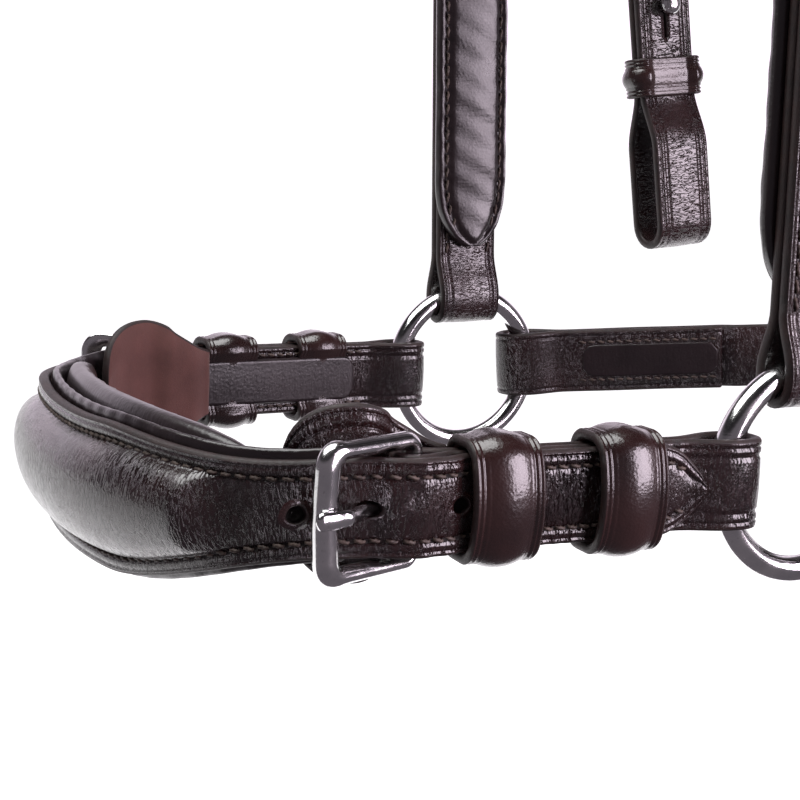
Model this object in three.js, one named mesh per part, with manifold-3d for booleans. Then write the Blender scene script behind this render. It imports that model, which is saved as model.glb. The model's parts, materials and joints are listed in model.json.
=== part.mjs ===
// A leather headcollar that also carries a bit, hanging from its crown as it would on a hook.
// Millimetres. +X points from the nose to the throat, +Y to the horse's right, +Z up to the poll.
// Every piece is drawn with the two side rings at height 0, and the whole is lowered at the end,
// so that the origin is the underside of the crown, where the poll holds it.
import * as THREE from 'three';
import { mergeVertices } from 'three/addons/utils/BufferGeometryUtils.js';
import Module from 'manifold-3d';

const wasm = await Module();
wasm.setup();

// ---------------------------------------------------------------- driving dimensions
const strapWidth = 20;
const leather = 2.6;           // one thickness of bridle leather
const gap = 0.3;               // between pieces that touch
const ringInside = 40;
const ringWire = 6;
const ringHalfSpan = 79.7;     // from the middle plane to a side ring
const crownRise = 430;         // from the side rings up to the crown leather over the poll
const crownPadding = 4.2;
const holePitch = 17;

const ringRadius = (ringInside + ringWire) / 2;
const halfStrap = strapWidth / 2;
const foldHalf = leather + gap / 2;            // half the thickness of a strap folded on itself
const billetInner = foldHalf + gap;            // where a billet lies on a folded strap
const billetOuter = billetInner + leather;
const bowOver = (half) => ringRadius - Math.sqrt(ringRadius ** 2 - half ** 2);
const hugDepth = bowOver(halfStrap);           // how far a ring's wire bows over a strap's width

// ---------------------------------------------------------------- materials
const leatherFace = new THREE.MeshStandardMaterial({ color: 0x2b1a1a, roughness: 0.42, metalness: 0 });
const leatherSoft = new THREE.MeshStandardMaterial({ color: 0x2f1f20, roughness: 0.55, metalness: 0 });
const leatherFlesh = new THREE.MeshStandardMaterial({ color: 0x5a3a33, roughness: 0.8, metalness: 0 });
const felt = new THREE.MeshStandardMaterial({ color: 0x6b6560, roughness: 0.95, metalness: 0 });
const steel = new THREE.MeshStandardMaterial({ color: 0xc9c9cc, roughness: 0.18, metalness: 1 });

// ---------------------------------------------------------------- solids and booleans
function closed(geometry) {
  geometry.deleteAttribute('normal');
  geometry.deleteAttribute('uv');
  return mergeVertices(geometry, 1e-4);
}

function toSolid(geometry) {
  const merged = closed(geometry.clone());
  const vertProperties = new Float32Array(merged.attributes.position.array);
  const triVerts = new Uint32Array(merged.index.array);
  return new wasm.Manifold(new wasm.Mesh({ numProp: 3, vertProperties, triVerts }));
}

function toGeometry(solid) {
  const mesh = solid.getMesh();
  const geometry = new THREE.BufferGeometry();
  geometry.setAttribute('position', new THREE.BufferAttribute(new Float32Array(mesh.vertProperties), 3));
  geometry.setIndex(new THREE.BufferAttribute(new Uint32Array(mesh.triVerts), 1));
  geometry.computeVertexNormals();
  return geometry;
}

function cut(geometry, ...tools) {
  return toGeometry(tools.reduce((left, tool) => left.subtract(toSolid(tool)), toSolid(geometry)));
}

function join(geometry, ...more) {
  return toGeometry(more.reduce((sum, next) => sum.add(toSolid(next)), toSolid(geometry)));
}

// The same piece for the horse's left side: y changes sign, and each triangle turns over.
function mirrored(geometry) {
  const copy = closed(geometry.clone()).scale(1, -1, 1);
  const index = copy.index.array;
  for (let i = 0; i < index.length; i += 3) {
    [index[i], index[i + 1]] = [index[i + 1], index[i]];
  }
  copy.computeVertexNormals();
  return copy;
}

// ---------------------------------------------------------------- frames along a strap
// A frame has an origin and three directions: along the strap, across its width, and outward.
function frame(origin, along, outward) {
  const a = along.clone().normalize();
  const w = new THREE.Vector3().crossVectors(a, outward).normalize();
  const o = new THREE.Vector3().crossVectors(w, a);
  return { origin, a, w, o };
}

function pointIn(f, along, out, wide) {
  return f.origin.clone().addScaledVector(f.a, along).addScaledVector(f.o, out).addScaledVector(f.w, wide);
}

// Moves a geometry drawn as x along, y outward, z wide into a frame.
function into(f, geometry) {
  return geometry.applyMatrix4(new THREE.Matrix4().makeBasis(f.a, f.o, f.w).setPosition(f.origin));
}

// A frame's mirror image, for a piece that is the same both ways across its width.
function leftFrame(f) {
  const flip = (v) => new THREE.Vector3(v.x, -v.y, v.z);
  return { origin: flip(f.origin), a: flip(f.a), o: flip(f.o), w: flip(f.w).negate() };
}

const smooth = (low, high, x) => THREE.MathUtils.smoothstep(x, low, high);
const mix = THREE.MathUtils.lerp;

// A strap bent along a route: section(s, v) gives its half width, middle height and two faces at
// distance s along, v running from -1 to 1 across.
function bentStrap({ route, from, to, steps, across = 1, section }) {
  const box = new THREE.BoxGeometry(1, 1, 1, steps, 1, across);
  const p = box.attributes.position;
  for (let i = 0; i < p.count; i += 1) {
    const s = mix(from, to, p.getX(i) + 0.5);
    const v = p.getZ(i) * 2;
    const { half, middle = 0, inner, outer } = section(s, v);
    const out = mix(inner, outer, p.getY(i) + 0.5);
    const point = pointIn(route(s), 0, out, middle + v * half);
    p.setXYZ(i, point.x, point.y, point.z);
  }
  return closed(box);
}

// ---------------------------------------------------------------- routes
// Half of the noseband seen from above, from the middle of the nose to the right side ring.
const rightRing = new THREE.Vector3(0, ringHalfSpan, 0);
const sideStart = new THREE.Vector3(-ringRadius, ringHalfSpan, 0);
const sideEnd = new THREE.Vector3(-100, 75.6, 3.7);
const noseHalf = new THREE.CurvePath();
noseHalf.add(new THREE.CubicBezierCurve3(
  new THREE.Vector3(-142, 0, -1.2),
  new THREE.Vector3(-142, 52, -1.2),
  new THREE.Vector3(-124, 74.3, 6),
  sideEnd,
));
noseHalf.add(new THREE.LineCurve3(sideEnd, sideStart));
const noseLength = noseHalf.getLength();

// Half of the chin strap, from the middle behind the chin to the right side ring.
const chinMiddle = new THREE.Vector3(112, 0, 3.6);
const chinBend = new THREE.Vector3(87, 41.3, 2.6);
const chinEnd = new THREE.Vector3(ringRadius, ringHalfSpan, 0);
const chinHalf = new THREE.CurvePath();
chinHalf.add(new THREE.QuadraticBezierCurve3(chinMiddle, new THREE.Vector3(112, 26.3, 3.6), chinBend));
chinHalf.add(new THREE.LineCurve3(chinBend, chinEnd));
const chinLength = chinHalf.getLength();

// A route over both sides: s is 0 in the middle, positive to the right, and the left is its mirror.
function bothSides(half, outwardOf) {
  const length = half.getLength();
  return (s) => {
    const u = Math.min(Math.abs(s) / length, 1);
    const origin = half.getPointAt(u);
    const along = half.getTangentAt(u);
    const outward = outwardOf(along);
    if (s < 0) {
      origin.y *= -1;
      along.set(-along.x, along.y, -along.z);
      outward.y *= -1;
    }
    return frame(origin, along, outward);
  };
}

const noseRoute = bothSides(noseHalf, (along) => new THREE.Vector3(-along.y, along.x, 0));
const chinRoute = bothSides(chinHalf, (along) => new THREE.Vector3(along.y, -along.x, 0));

// The straight stretch of the noseband's side, measured from the ring's wire toward the nose.
const sideLine = frame(sideStart, sideEnd.clone().sub(sideStart), new THREE.Vector3(0, 1, 0));
const onSide = (distance) => ({ ...sideLine, origin: pointIn(sideLine, distance, 0, 0) });

// The cheekpiece's straight line, measured from the top of the ring's wire toward the crown.
const cheekStart = new THREE.Vector3(0, ringHalfSpan, ringRadius);
const cheekTop = new THREE.Vector3(5, 84, 270);
const cheekLine = frame(cheekStart, cheekTop.clone().sub(cheekStart), new THREE.Vector3(0, 1, 0));
const onCheek = (distance) => ({ ...cheekLine, origin: pointIn(cheekLine, distance, 0, 0) });

// ---------------------------------------------------------------- rings
const ring = () => closed(new THREE.TorusGeometry(ringRadius, ringWire / 2, 8, 24).rotateX(Math.PI / 2));

// ---------------------------------------------------------------- folded straps
// A strap folded round a bar and stitched to itself, drawn edge on and extruded across its width.
// An eye is { at, reach, radius, taper }, its reach being how far the bar's bow lengthens it.
function foldEnd(shape, eye, direction) {
  const radius = eye.radius + leather;
  const far = eye.at + eye.reach * direction;
  const quarter = Math.PI / 2 * direction;
  shape.lineTo(eye.at - eye.taper * direction, -foldHalf * direction);
  shape.lineTo(eye.at, -radius * direction);
  shape.absarc(far, 0, radius, -quarter, -quarter + Math.PI, false);
  shape.lineTo(eye.at, radius * direction);
  shape.lineTo(eye.at - eye.taper * direction, foldHalf * direction);
  const hole = new THREE.Path();
  hole.absarc(far, 0, eye.radius, -quarter, -quarter + Math.PI, false);
  hole.absarc(eye.at, 0, eye.radius, quarter, quarter + Math.PI, false);
  shape.holes.push(hole);
}

function foldedStrap(width, start, end) {
  const shape = new THREE.Shape();
  shape.moveTo((start.at + end.at) / 2, -foldHalf);
  if (end.radius) {
    foldEnd(shape, end, 1);
  } else {
    shape.lineTo(end.at, -foldHalf);
    shape.lineTo(end.at, foldHalf);
  }
  foldEnd(shape, start, -1);
  const solid = new THREE.ExtrudeGeometry(shape, { depth: width, bevelEnabled: false, curveSegments: 4 });
  return closed(solid.translate(0, 0, -width / 2));
}

const ringEye = { at: 0, reach: hugDepth, radius: ringWire / 2 + 1.2, taper: 13 };
const ringRise = ringEye.radius + leather - foldHalf;

// ---------------------------------------------------------------- buckles
// Drawn with the heel bar at the start and the front bar forward, the frame tipped up at the front
// so that the billet passes over the heel and under the front.
const bar = 3.4;
const frameReach = 22;                                    // from heel bar to front bar
const barCorner = bar / 2 * Math.SQRT2;                   // to the corner of a bar's square section
const frontBarOut = billetOuter + gap + barCorner;
const frameTilt = Math.asin(frontBarOut / frameReach);
const heelEye = barCorner + gap;
const heelTaper = 8;
const heel = (at) => ({ at, reach: 0.01, radius: heelEye, taper: heelTaper });
const sideBarIn = halfStrap + 0.6;
const tongueRadius = 1.3;
const tongueTilt = frameTilt + Math.asin((barCorner + tongueRadius + 0.25) / frameReach);
const tongueTravel = THREE.MathUtils.degToRad(6);

function roundedRectangle(Path, x0, x1, y0, y1, r) {
  const path = new Path();
  path.moveTo(x0 + r, y0);
  path.lineTo(x1 - r, y0);
  path.absarc(x1 - r, y0 + r, r, -Math.PI / 2, 0, false);
  path.lineTo(x1, y1 - r);
  path.absarc(x1 - r, y1 - r, r, 0, Math.PI / 2, false);
  path.lineTo(x0 + r, y1);
  path.absarc(x0 + r, y1 - r, r, Math.PI / 2, Math.PI, false);
  path.lineTo(x0, y0 + r);
  path.absarc(x0 + r, y0 + r, r, Math.PI, Math.PI * 1.5, false);
  return path;
}

function buckleFrame() {
  const outside = sideBarIn + bar;
  const shape = roundedRectangle(THREE.Shape, -bar / 2, frameReach + bar / 2, -outside, outside, 3.5);
  shape.holes.push(roundedRectangle(
    THREE.Path, bar / 2, frameReach - bar / 2, -sideBarIn, sideBarIn, 1.2));
  const solid = new THREE.ExtrudeGeometry(shape, { depth: bar, bevelEnabled: false, curveSegments: 2 });
  return closed(solid.translate(0, 0, -bar / 2).rotateX(-Math.PI / 2).rotateZ(frameTilt));
}

function tongueShank(radius, from, to, turn) {
  const shank = new THREE.CylinderGeometry(radius, radius, to - from, 8);
  return shank.rotateZ(-Math.PI / 2).translate((from + to) / 2, 0, 0).rotateZ(tongueTilt + turn);
}

// The tongue is a curl round the heel bar with a straight shank that rests on the front bar.
function buckleTongue() {
  const curlIn = barCorner + 0.2;
  const curlOut = curlIn + 1.5;
  const shape = new THREE.Shape();
  shape.absarc(0, 0, curlOut, 0, Math.PI * 2, false);
  const hole = new THREE.Path();
  hole.absarc(0, 0, curlIn, 0, Math.PI * 2, true);
  shape.holes.push(hole);
  const curl = new THREE.ExtrudeGeometry(shape, { depth: 3, bevelEnabled: false, curveSegments: 5 });
  const shank = tongueShank(tongueRadius, curlIn + 0.4, frameReach + 2.4, 0);
  return join(curl.translate(0, 0, -1.5), shank);
}

// What the leather loses so that the tongue can pass and lift: the slot in the fold and in the billet.
const tongueSlot = (at) => new THREE.BoxGeometry(12, 16, 4.2).translate(at + 1.2, 0, 0);
const tongueWay = () => [0, tongueTravel].map((turn) => tongueShank(tongueRadius + 0.5, 5, 18, turn));

// How far a billet rises to pass over the fold on the heel bar, and over the fold on a ring.
const heelRise = heelEye + leather - foldHalf;
const heelLift = (fromHeel) => heelRise * (1 - smooth(3, heelTaper + 1, Math.abs(fromHeel)));
const ringLift = (fromWire) => ringRise * Math.max(0, 1 - fromWire / ringEye.taper);

const punchedHole = () => new THREE.CylinderGeometry(2.1, 2.1, 16, 8);

// Everything punched out of a billet: the hole in use, and spare holes some pitches nearer or farther.
function billetHoles(onLine, heelAt, spares) {
  const usedAt = heelAt + 9.6;
  const round = spares.map((step) => into(onLine(usedAt + step * holePitch), punchedHole()));
  return [...round, ...tongueWay().map((way) => into(onLine(heelAt), way))];
}

// A billet narrows to a blunt point over its last 9 mm.
const pointed = (fromTip) => mix(0.35, 1, smooth(0, 9, fromTip + 0.8) ** 0.6);

// ---------------------------------------------------------------- keepers and guards
function keeper(depth, thickness) {
  const wall = 2.3;
  const slack = 0.9;
  const [inner, outer] = [-foldHalf - gap, thickness + gap];
  const reach = halfStrap + slack;
  const shape = roundedRectangle(
    THREE.Shape, inner - wall, outer + wall, -reach - wall, reach + wall, 3.4);
  shape.holes.push(roundedRectangle(THREE.Path, inner, outer, -reach, reach, 1.2));
  const solid = new THREE.ExtrudeGeometry(shape, { depth, bevelEnabled: false, curveSegments: 1 });
  return closed(solid.translate(0, 0, -depth / 2).rotateY(Math.PI / 2).rotateX(Math.PI / 2));
}

// ---------------------------------------------------------------- noseband
const heelAt = 74;                        // from the ring's wire to the nose buckle's heel bar
const billetTipAt = 8;
const fixedKeeperAt = 57;
const runnerKeeperAt = 28;
const fromRing = (s) => noseLength - Math.abs(s);

const noseHalfWidth = (s) => mix(16.4, halfStrap, smooth(25, 80, Math.abs(s)));
const swellEnd = 61;
const swellHeight = 7;
const stitchMargin = 3.6;                 // flat leather left outside the swell's stitch lines

// Height of the swell above the flat leather: full along the nose, gone at its ends and stitch lines.
function swell(s, v) {
  const along = 1 - smooth(swellEnd - 9, swellEnd, Math.abs(s));
  const reach = Math.min(Math.abs(v) * noseHalfWidth(s) / (noseHalfWidth(s) - stitchMargin), 1);
  return swellHeight * along * (1 - reach ** 2) ** 0.6;
}

function nosebandLeather() {
  const reach = noseLength - billetTipAt;
  const body = bentStrap({
    route: noseRoute, from: -reach, to: reach, steps: 80, across: 4,
    section: (s, v) => {
      const lift = heelLift(fromRing(s) - heelAt) + ringLift(fromRing(s));
      const raised = swell(s, v);
      return {
        half: noseHalfWidth(s) * pointed(fromRing(s) - billetTipAt),
        inner: billetInner + lift + raised * 0.98,
        outer: billetOuter + lift + raised,
      };
    },
  });
  const right = billetHoles(onSide, heelAt, [1, -1, -2, -3]);
  return cut(body, ...right, ...right.map(mirrored));
}

// The felt under the swell, a little smaller than the hollow that it fills.
function nosebandCore() {
  const reach = swellEnd - 6;
  const base = billetInner - 0.2;
  return bentStrap({
    route: noseRoute, from: -reach, to: reach, steps: 24, across: 4,
    section: (s, v) => {
      const half = (noseHalfWidth(s) - stitchMargin) * 0.86;
      return { half, inner: base, outer: base + 0.74 * swell(s, v * half / noseHalfWidth(s)) };
    },
  });
}

// The lining ends just short of the buckles' folds.
function nosebandLining() {
  const reach = noseLength - heelAt - 15;
  return bentStrap({
    route: noseRoute, from: -reach, to: reach, steps: 40,
    section: (s) => ({
      half: noseHalfWidth(s) + 1.4,
      inner: -0.4,
      outer: billetInner - gap,
    }),
  });
}

// A soft roll behind the lining, wider than the noseband and thinning out to its rounded ends.
function nosebandPad() {
  const reach = 67;
  const outer = -0.4 - gap;
  return bentStrap({
    route: noseRoute, from: -reach, to: reach, steps: 26, across: 4,
    section: (s, v) => {
      const fullness = (1 - Math.min(Math.abs(s) / reach, 1) ** 5) ** 0.5;
      return {
        half: mix(12, 20, fullness),
        middle: 0.6,
        inner: outer - mix(2, 8, fullness) * (1 - 0.5 * v * v),
        outer,
      };
    },
  });
}

function sideStrap() {
  return into(onSide(0), cut(foldedStrap(strapWidth, ringEye, heel(heelAt)), tongueSlot(heelAt)));
}

// A rounded flap under each nose buckle, keeping its steel off the horse's face.
function buckleGuard() {
  const middle = heelAt + 10.5;
  const reach = 17.5;
  return bentStrap({
    route: (s) => noseRoute(noseLength - s), from: middle + reach, to: middle - reach, steps: 24,
    section: (s) => {
      const share = Math.min(Math.abs(s - middle) / reach, 1);
      const outer = -foldHalf - gap - heelLift(s - heelAt);
      return {
        half: Math.max(18.5 * (1 - share ** 2.6) ** (1 / 2.6), 6),
        middle: 0.6,
        inner: outer - 2.2,
        outer,
      };
    },
  });
}

// ---------------------------------------------------------------- cheekpieces
const cheekHeelAt = 238;

function cheekpiece() {
  return into(onCheek(0), cut(foldedStrap(strapWidth, ringEye, heel(cheekHeelAt)), tongueSlot(cheekHeelAt)));
}

function cheekLining() {
  const [low, high, half] = [22, 196, 12];
  const bevel = 1.6;
  const thickness = 2 * bevel + 1.6;
  const shape = roundedRectangle(THREE.Shape, low + bevel, high - bevel, -half + bevel, half - bevel, 8);
  const solid = new THREE.ExtrudeGeometry(shape, {
    depth: thickness - 2 * bevel, bevelThickness: bevel, bevelSize: bevel, bevelSegments: 1, curveSegments: 4,
  });
  const faceOut = -foldHalf - gap;
  return closed(into(onCheek(0), solid.rotateX(-Math.PI / 2).translate(0, faceOut - thickness + bevel, 0)));
}

// ---------------------------------------------------------------- bit straps
// An open loop for the bit at the bottom, caught by a hook stud on the inner side, and a buckle on top.
const bitStart = new THREE.Vector3(69.5, 64.5, 36);
const bitLine = frame(bitStart, new THREE.Vector3(-14.5, 17, 249), new THREE.Vector3(0, 1, 0));
const onBit = (distance) => ({ ...bitLine, origin: pointIn(bitLine, distance, 0, 0) });
const bitHeelAt = 225;
const studAt = 76;
const bitLoopEye = { at: 32, reach: 24, radius: 5.2, taper: 16 };

function bitStrap() {
  const solid = foldedStrap(strapWidth, bitLoopEye, heel(bitHeelAt));
  const seat = new THREE.CylinderGeometry(2.8, 2.8, 6, 12).translate(studAt, -3.4, 0);
  return into(onBit(0), cut(solid, tongueSlot(bitHeelAt), seat));
}

function hookStud() {
  const profile = [[0, 0.8], [2.5, 0.8], [2.5, 1.6], [1.6, 2], [1.6, 5.2], [3.4, 6], [3.2, 7.6], [0, 8.4]];
  return closed(new THREE.LatheGeometry(profile.map(([r, h]) => new THREE.Vector2(r, h)), 12));
}

// The same place, seen from the strap's inner side.
const turned = (f) => ({ origin: f.origin, a: f.a, o: f.o.clone().negate(), w: f.w.clone().negate() });

// ---------------------------------------------------------------- throat strap
const throatTop = new THREE.Vector3(75, 85.4, 345);
const throatKnee = new THREE.Vector3(98, 81, 190);
const throatLow = new THREE.Vector3(110, 0, 96);
const throatLine = frame(throatKnee, throatTop.clone().sub(throatKnee), new THREE.Vector3(0, 1, 0));
const onThroat = (distance) => ({ ...throatLine, origin: pointIn(throatLine, distance, 0, 0) });
const throatHeelAt = 82;
const throatHalf = new THREE.CurvePath();
throatHalf.add(new THREE.CubicBezierCurve3(
  throatLow,
  new THREE.Vector3(throatLow.x, 48, throatLow.z),
  pointIn(throatLine, -52, 0, 0),
  throatKnee,
));
const throatLength = throatHalf.getLength();
const throatRoute = bothSides(throatHalf, (along) => new THREE.Vector3(0, along.z, -along.y));

// One long strap, turned back at each end round its buckle.
function throatStrap() {
  const middle = bentStrap({
    route: throatRoute, from: -throatLength, to: throatLength, steps: 28,
    section: () => ({ half: halfStrap - 0.2, inner: -leather / 2, outer: leather / 2 }),
  });
  const turnback = foldedStrap(strapWidth, heel(0), { at: throatHeelAt + 4 });
  const end = into(onThroat(throatHeelAt), cut(turnback, tongueSlot(-2.4)).scale(-1, 1, -1));
  return join(middle, end, mirrored(end));
}

// ---------------------------------------------------------------- crown
// The arch over the poll: upright at its ends, a half ellipse over the top. Its ends are split into
// three billets a side, for the cheekpiece, the bit strap and the throat strap.
const archFoot = 345;
const archHalf = pointIn(onCheek(archFoot - ringRadius), 0, billetInner, 0).y;
const archMiddle = 32;                    // how far behind the side rings the crown's middle lies
const archHalfWidth = 23;
const crownThickness = 3;

function archRoute(angle) {
  const rise = crownRise - archFoot;
  const origin = new THREE.Vector3(
    archMiddle, archHalf * Math.sin(angle), archFoot + rise * Math.cos(angle));
  const along = new THREE.Vector3(0, archHalf * Math.cos(angle), -rise * Math.sin(angle));
  return frame(origin, along, new THREE.Vector3(0, -along.z, along.y));
}

// A billet leaves the arch at one offset from its middle and reaches the foot at another, then runs
// straight down its line to a blunt point below the buckle.
function crownBillet(onLine, heelAt, offsetOnArch) {
  const foot = onLine(0);
  const footAt = (archFoot - foot.origin.z) / foot.a.z;
  const offset = pointIn(foot, footAt, 0, 0).x - archMiddle;
  const split = 0.75;
  const upper = bentStrap({
    route: archRoute, from: split, to: Math.PI / 2, steps: 8,
    section: (angle) => ({
      half: halfStrap,
      middle: mix(offsetOnArch, offset, smooth(split, Math.PI / 2, angle)),
      inner: 0.1,
      outer: leather,
    }),
  });
  const tip = heelAt - 44;
  const lower = bentStrap({
    route: onLine, from: tip, to: footAt + 1.5, steps: 18,
    section: (s) => ({
      half: halfStrap * pointed(s - tip),
      inner: billetInner + heelLift(s - heelAt),
      outer: billetOuter + heelLift(s - heelAt),
    }),
  });
  return join(cut(lower, ...billetHoles(onLine, heelAt, [-2, -1, 1])), upper);
}

function crownpiece() {
  const arch = bentStrap({
    route: archRoute, from: -1.1, to: 1.1, steps: 24,
    section: () => ({ half: archHalfWidth, inner: 0, outer: crownThickness }),
  });
  const right = [
    crownBillet(onCheek, cheekHeelAt, halfStrap - archHalfWidth),
    crownBillet(onBit, bitHeelAt, 3),
    crownBillet(onThroat, throatHeelAt, archHalfWidth - halfStrap),
  ];
  return join(arch, ...right, ...right.map(mirrored));
}

function crownLining() {
  return bentStrap({
    route: archRoute, from: -1.05, to: 1.05, steps: 24, across: 2,
    section: (s, v) => ({ half: archHalfWidth + 2, inner: -gap - crownPadding + 1.6 * v * v, outer: -gap }),
  });
}

// ---------------------------------------------------------------- chin strap and lead ring
function chinStrap() {
  const reach = chinLength - 30;
  const middle = bentStrap({
    route: chinRoute, from: -reach, to: reach, steps: 30,
    section: () => ({ half: halfStrap - 0.4, inner: -leather / 2, outer: leather / 2 }),
  });
  const f = frame(chinEnd, chinBend.clone().sub(chinEnd), new THREE.Vector3(0, 1, 0));
  const bowEye = { ...ringEye, radius: ringEye.radius + 0.9 };    // the strap reaches the ring at a slant
  const fold = into(f, foldedStrap(strapWidth, bowEye, { at: 44 }));
  return join(middle, fold, mirrored(fold));
}

const tabHalf = 8;
const tabEye = ringWire / 2 + bowOver(tabHalf) + 0.55;       // roomy enough for the ring to swing in
const leadRing = new THREE.Vector3(chinMiddle.x, 0, chinMiddle.z - halfStrap - leather - 5.6 - ringRadius);

// A leather tab folded round the chin strap, with the lead ring's wire in its lower eye.
function leadRingTab() {
  const slotUp = halfStrap + 0.5;
  const slotWide = leather / 2 + 1.6;
  const corner = 2;
  const [wide, up] = [slotWide + leather, slotUp + leather];
  const eyeAt = leadRing.z + ringRadius - chinMiddle.z;
  const shape = new THREE.Shape();
  shape.moveTo(-wide, up - corner);
  shape.lineTo(-wide, 1 - up);
  shape.absarc(0, eyeAt, tabEye + leather, Math.PI, Math.PI * 2, false);
  shape.lineTo(wide, 1 - up);
  shape.lineTo(wide, up - corner);
  shape.absarc(wide - corner, up - corner, corner, 0, Math.PI / 2, false);
  shape.absarc(corner - wide, up - corner, corner, Math.PI / 2, Math.PI, false);
  const slot = roundedRectangle(THREE.Path, -slotWide, slotWide, -slotUp, slotUp, 1);
  const eye = new THREE.Path();
  eye.absarc(0, eyeAt, tabEye, 0, Math.PI * 2, true);
  shape.holes.push(slot, eye);
  const depth = tabHalf * 2;
  const solid = new THREE.ExtrudeGeometry(shape, { depth, bevelEnabled: false, curveSegments: 6 });
  return closed(solid.translate(0, 0, -tabHalf).rotateX(Math.PI / 2).translate(...chinMiddle.toArray()));
}

// ---------------------------------------------------------------- assembly
const model = new THREE.Group();
model.position.set(-archMiddle, 0, gap + crownPadding - crownRise);

function add(name, geometry, material, place) {
  const mesh = new THREE.Mesh(geometry, material);
  mesh.name = name;
  if (place) {
    mesh.applyMatrix4(new THREE.Matrix4().makeBasis(place.a, place.o, place.w).setPosition(place.origin));
  }
  model.add(mesh);
}

const sides = [
  { side: 'right', shape: (geometry) => geometry, place: (f) => f },
  { side: 'left', shape: mirrored, place: leftFrame },
];

add('noseband_leather', nosebandLeather(), leatherFace);
add('noseband_core', nosebandCore(), felt);
add('noseband_lining', nosebandLining(), leatherSoft);
add('noseband_pad', nosebandPad(), leatherSoft);
add('crownpiece', crownpiece(), leatherFace);
add('crown_lining', crownLining(), leatherSoft);
add('chin_strap', chinStrap(), leatherFace);
add('lead_ring_tab', leadRingTab(), leatherFace);
add('throat_strap', throatStrap(), leatherFace);
add('lead_ring', ring().rotateZ(Math.PI / 2).translate(leadRing.x, leadRing.y, leadRing.z), steel);

// A buckle with its tongue on a heel bar, and the keeper that holds the billet's end.
function addBuckle(name, place, onLine, heelAt, keeperAt, keeperDepth, keeperName) {
  add(`${name}_buckle`, buckleFrame(), steel, place(onLine(heelAt)));
  add(`${name}_tongue`, buckleTongue(), steel, place(onLine(heelAt)));
  add(keeperName, keeper(keeperDepth, billetOuter), leatherFace, place(onLine(keeperAt)));
}

for (const { side, shape, place } of sides) {
  add(`${side}_ring`, shape(ring().translate(...rightRing.toArray())), steel);
  add(`${side}_side_strap`, shape(sideStrap()), leatherFace);
  add(`${side}_buckle_guard`, shape(buckleGuard()), leatherFlesh);
  addBuckle(`${side}_nose`, place, onSide, heelAt, fixedKeeperAt, 17, `${side}_fixed_keeper`);
  add(`${side}_runner_keeper`, keeper(17, billetOuter), leatherFace, place(onSide(runnerKeeperAt)));
  add(`${side}_cheekpiece`, shape(cheekpiece()), leatherFace);
  add(`${side}_cheek_lining`, shape(cheekLining()), leatherSoft);
  addBuckle(`${side}_cheek`, place, onCheek, cheekHeelAt, cheekHeelAt - 24, 12, `${side}_cheek_keeper`);
  add(`${side}_bit_strap`, shape(bitStrap()), leatherFace);
  add(`${side}_hook_stud`, hookStud(), steel, place(turned(onBit(studAt))));
  add(`${side}_bit_keeper`, keeper(12, foldHalf), leatherFace, place(onBit(54)));
  addBuckle(`${side}_bit`, place, onBit, bitHeelAt, bitHeelAt - 24, 12, `${side}_bit_top_keeper`);
  addBuckle(`${side}_throat`, place, onThroat, throatHeelAt, throatHeelAt - 24, 12, `${side}_throat_keeper`);
}

export default model;
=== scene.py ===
"""The looks of the leather headcollar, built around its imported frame.

Shapes are drawn in millimetres from the level of the side rings, as the design is: +X from the nose
to the throat, +Y to the horse's right, +Z up. Where the straps lie comes from the frame's joints.
Every piece is drawn for the right side or for both, and a left one is its mirror image.
"""
import json
import math
import random

import bpy
import numpy as np
from mathutils import Matrix, Vector


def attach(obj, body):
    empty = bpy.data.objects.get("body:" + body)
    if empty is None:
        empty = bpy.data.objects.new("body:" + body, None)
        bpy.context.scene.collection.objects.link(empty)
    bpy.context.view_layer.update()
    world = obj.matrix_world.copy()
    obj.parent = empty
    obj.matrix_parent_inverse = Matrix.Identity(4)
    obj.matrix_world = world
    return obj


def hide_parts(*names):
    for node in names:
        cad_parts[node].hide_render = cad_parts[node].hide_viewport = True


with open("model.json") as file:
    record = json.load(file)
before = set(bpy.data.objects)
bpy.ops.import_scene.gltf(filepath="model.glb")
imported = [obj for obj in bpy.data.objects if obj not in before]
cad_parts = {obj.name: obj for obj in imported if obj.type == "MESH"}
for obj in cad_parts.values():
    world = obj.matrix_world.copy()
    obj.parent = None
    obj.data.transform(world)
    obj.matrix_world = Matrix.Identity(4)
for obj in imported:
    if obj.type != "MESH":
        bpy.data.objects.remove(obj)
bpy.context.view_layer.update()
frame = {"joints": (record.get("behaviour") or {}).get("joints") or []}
random.seed(7)

# ---------------------------------------------------------------- driving sizes, millimetres
MM = 0.001
STRAP_HALF = 10.0
LEATHER = 2.6
GAP = 0.3
RING_WIRE = 3.0                  # radius of the side rings' wire
RING_RADIUS = 23.0               # to the middle of the wire
FOLD_HALF = LEATHER + GAP / 2    # half the thickness of a strap folded on itself
BILLET_INNER = FOLD_HALF + GAP
BILLET_OUTER = BILLET_INNER + LEATHER
HOLE_PITCH = 17.0
STITCH_INSET = 3.8
CREASE_INSET = 1.8
FINE_STITCH = 2.85               # pitch on the noseband and the side straps
COARSE_STITCH = 3.8              # pitch on the cheekpieces and the crown

joints = {j["name"]: j for j in frame["joints"]}
ring_at = np.array(joints["right_ring_spin"]["pos_m"]) / MM
HOME = np.array([ring_at[0], 0.0, ring_at[2]])
RING_SPAN = ring_at[1]


def unit(v):
    v = np.asarray(v, float)
    return v / np.linalg.norm(v, axis=-1, keepdims=True)


def smooth(low, high, x):
    t = np.clip((np.asarray(x, float) - low) / (high - low), 0, 1)
    return t * t * (3 - 2 * t)


def mix(a, b, t):
    return a + (b - a) * t


def hinge(name):
    """Where a tongue's heel bar lies, and the direction of the bar, from its joint."""
    joint = joints[name]
    return np.array(joint["pos_m"]) / MM - HOME, np.array(joint["axis"], float)


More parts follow.
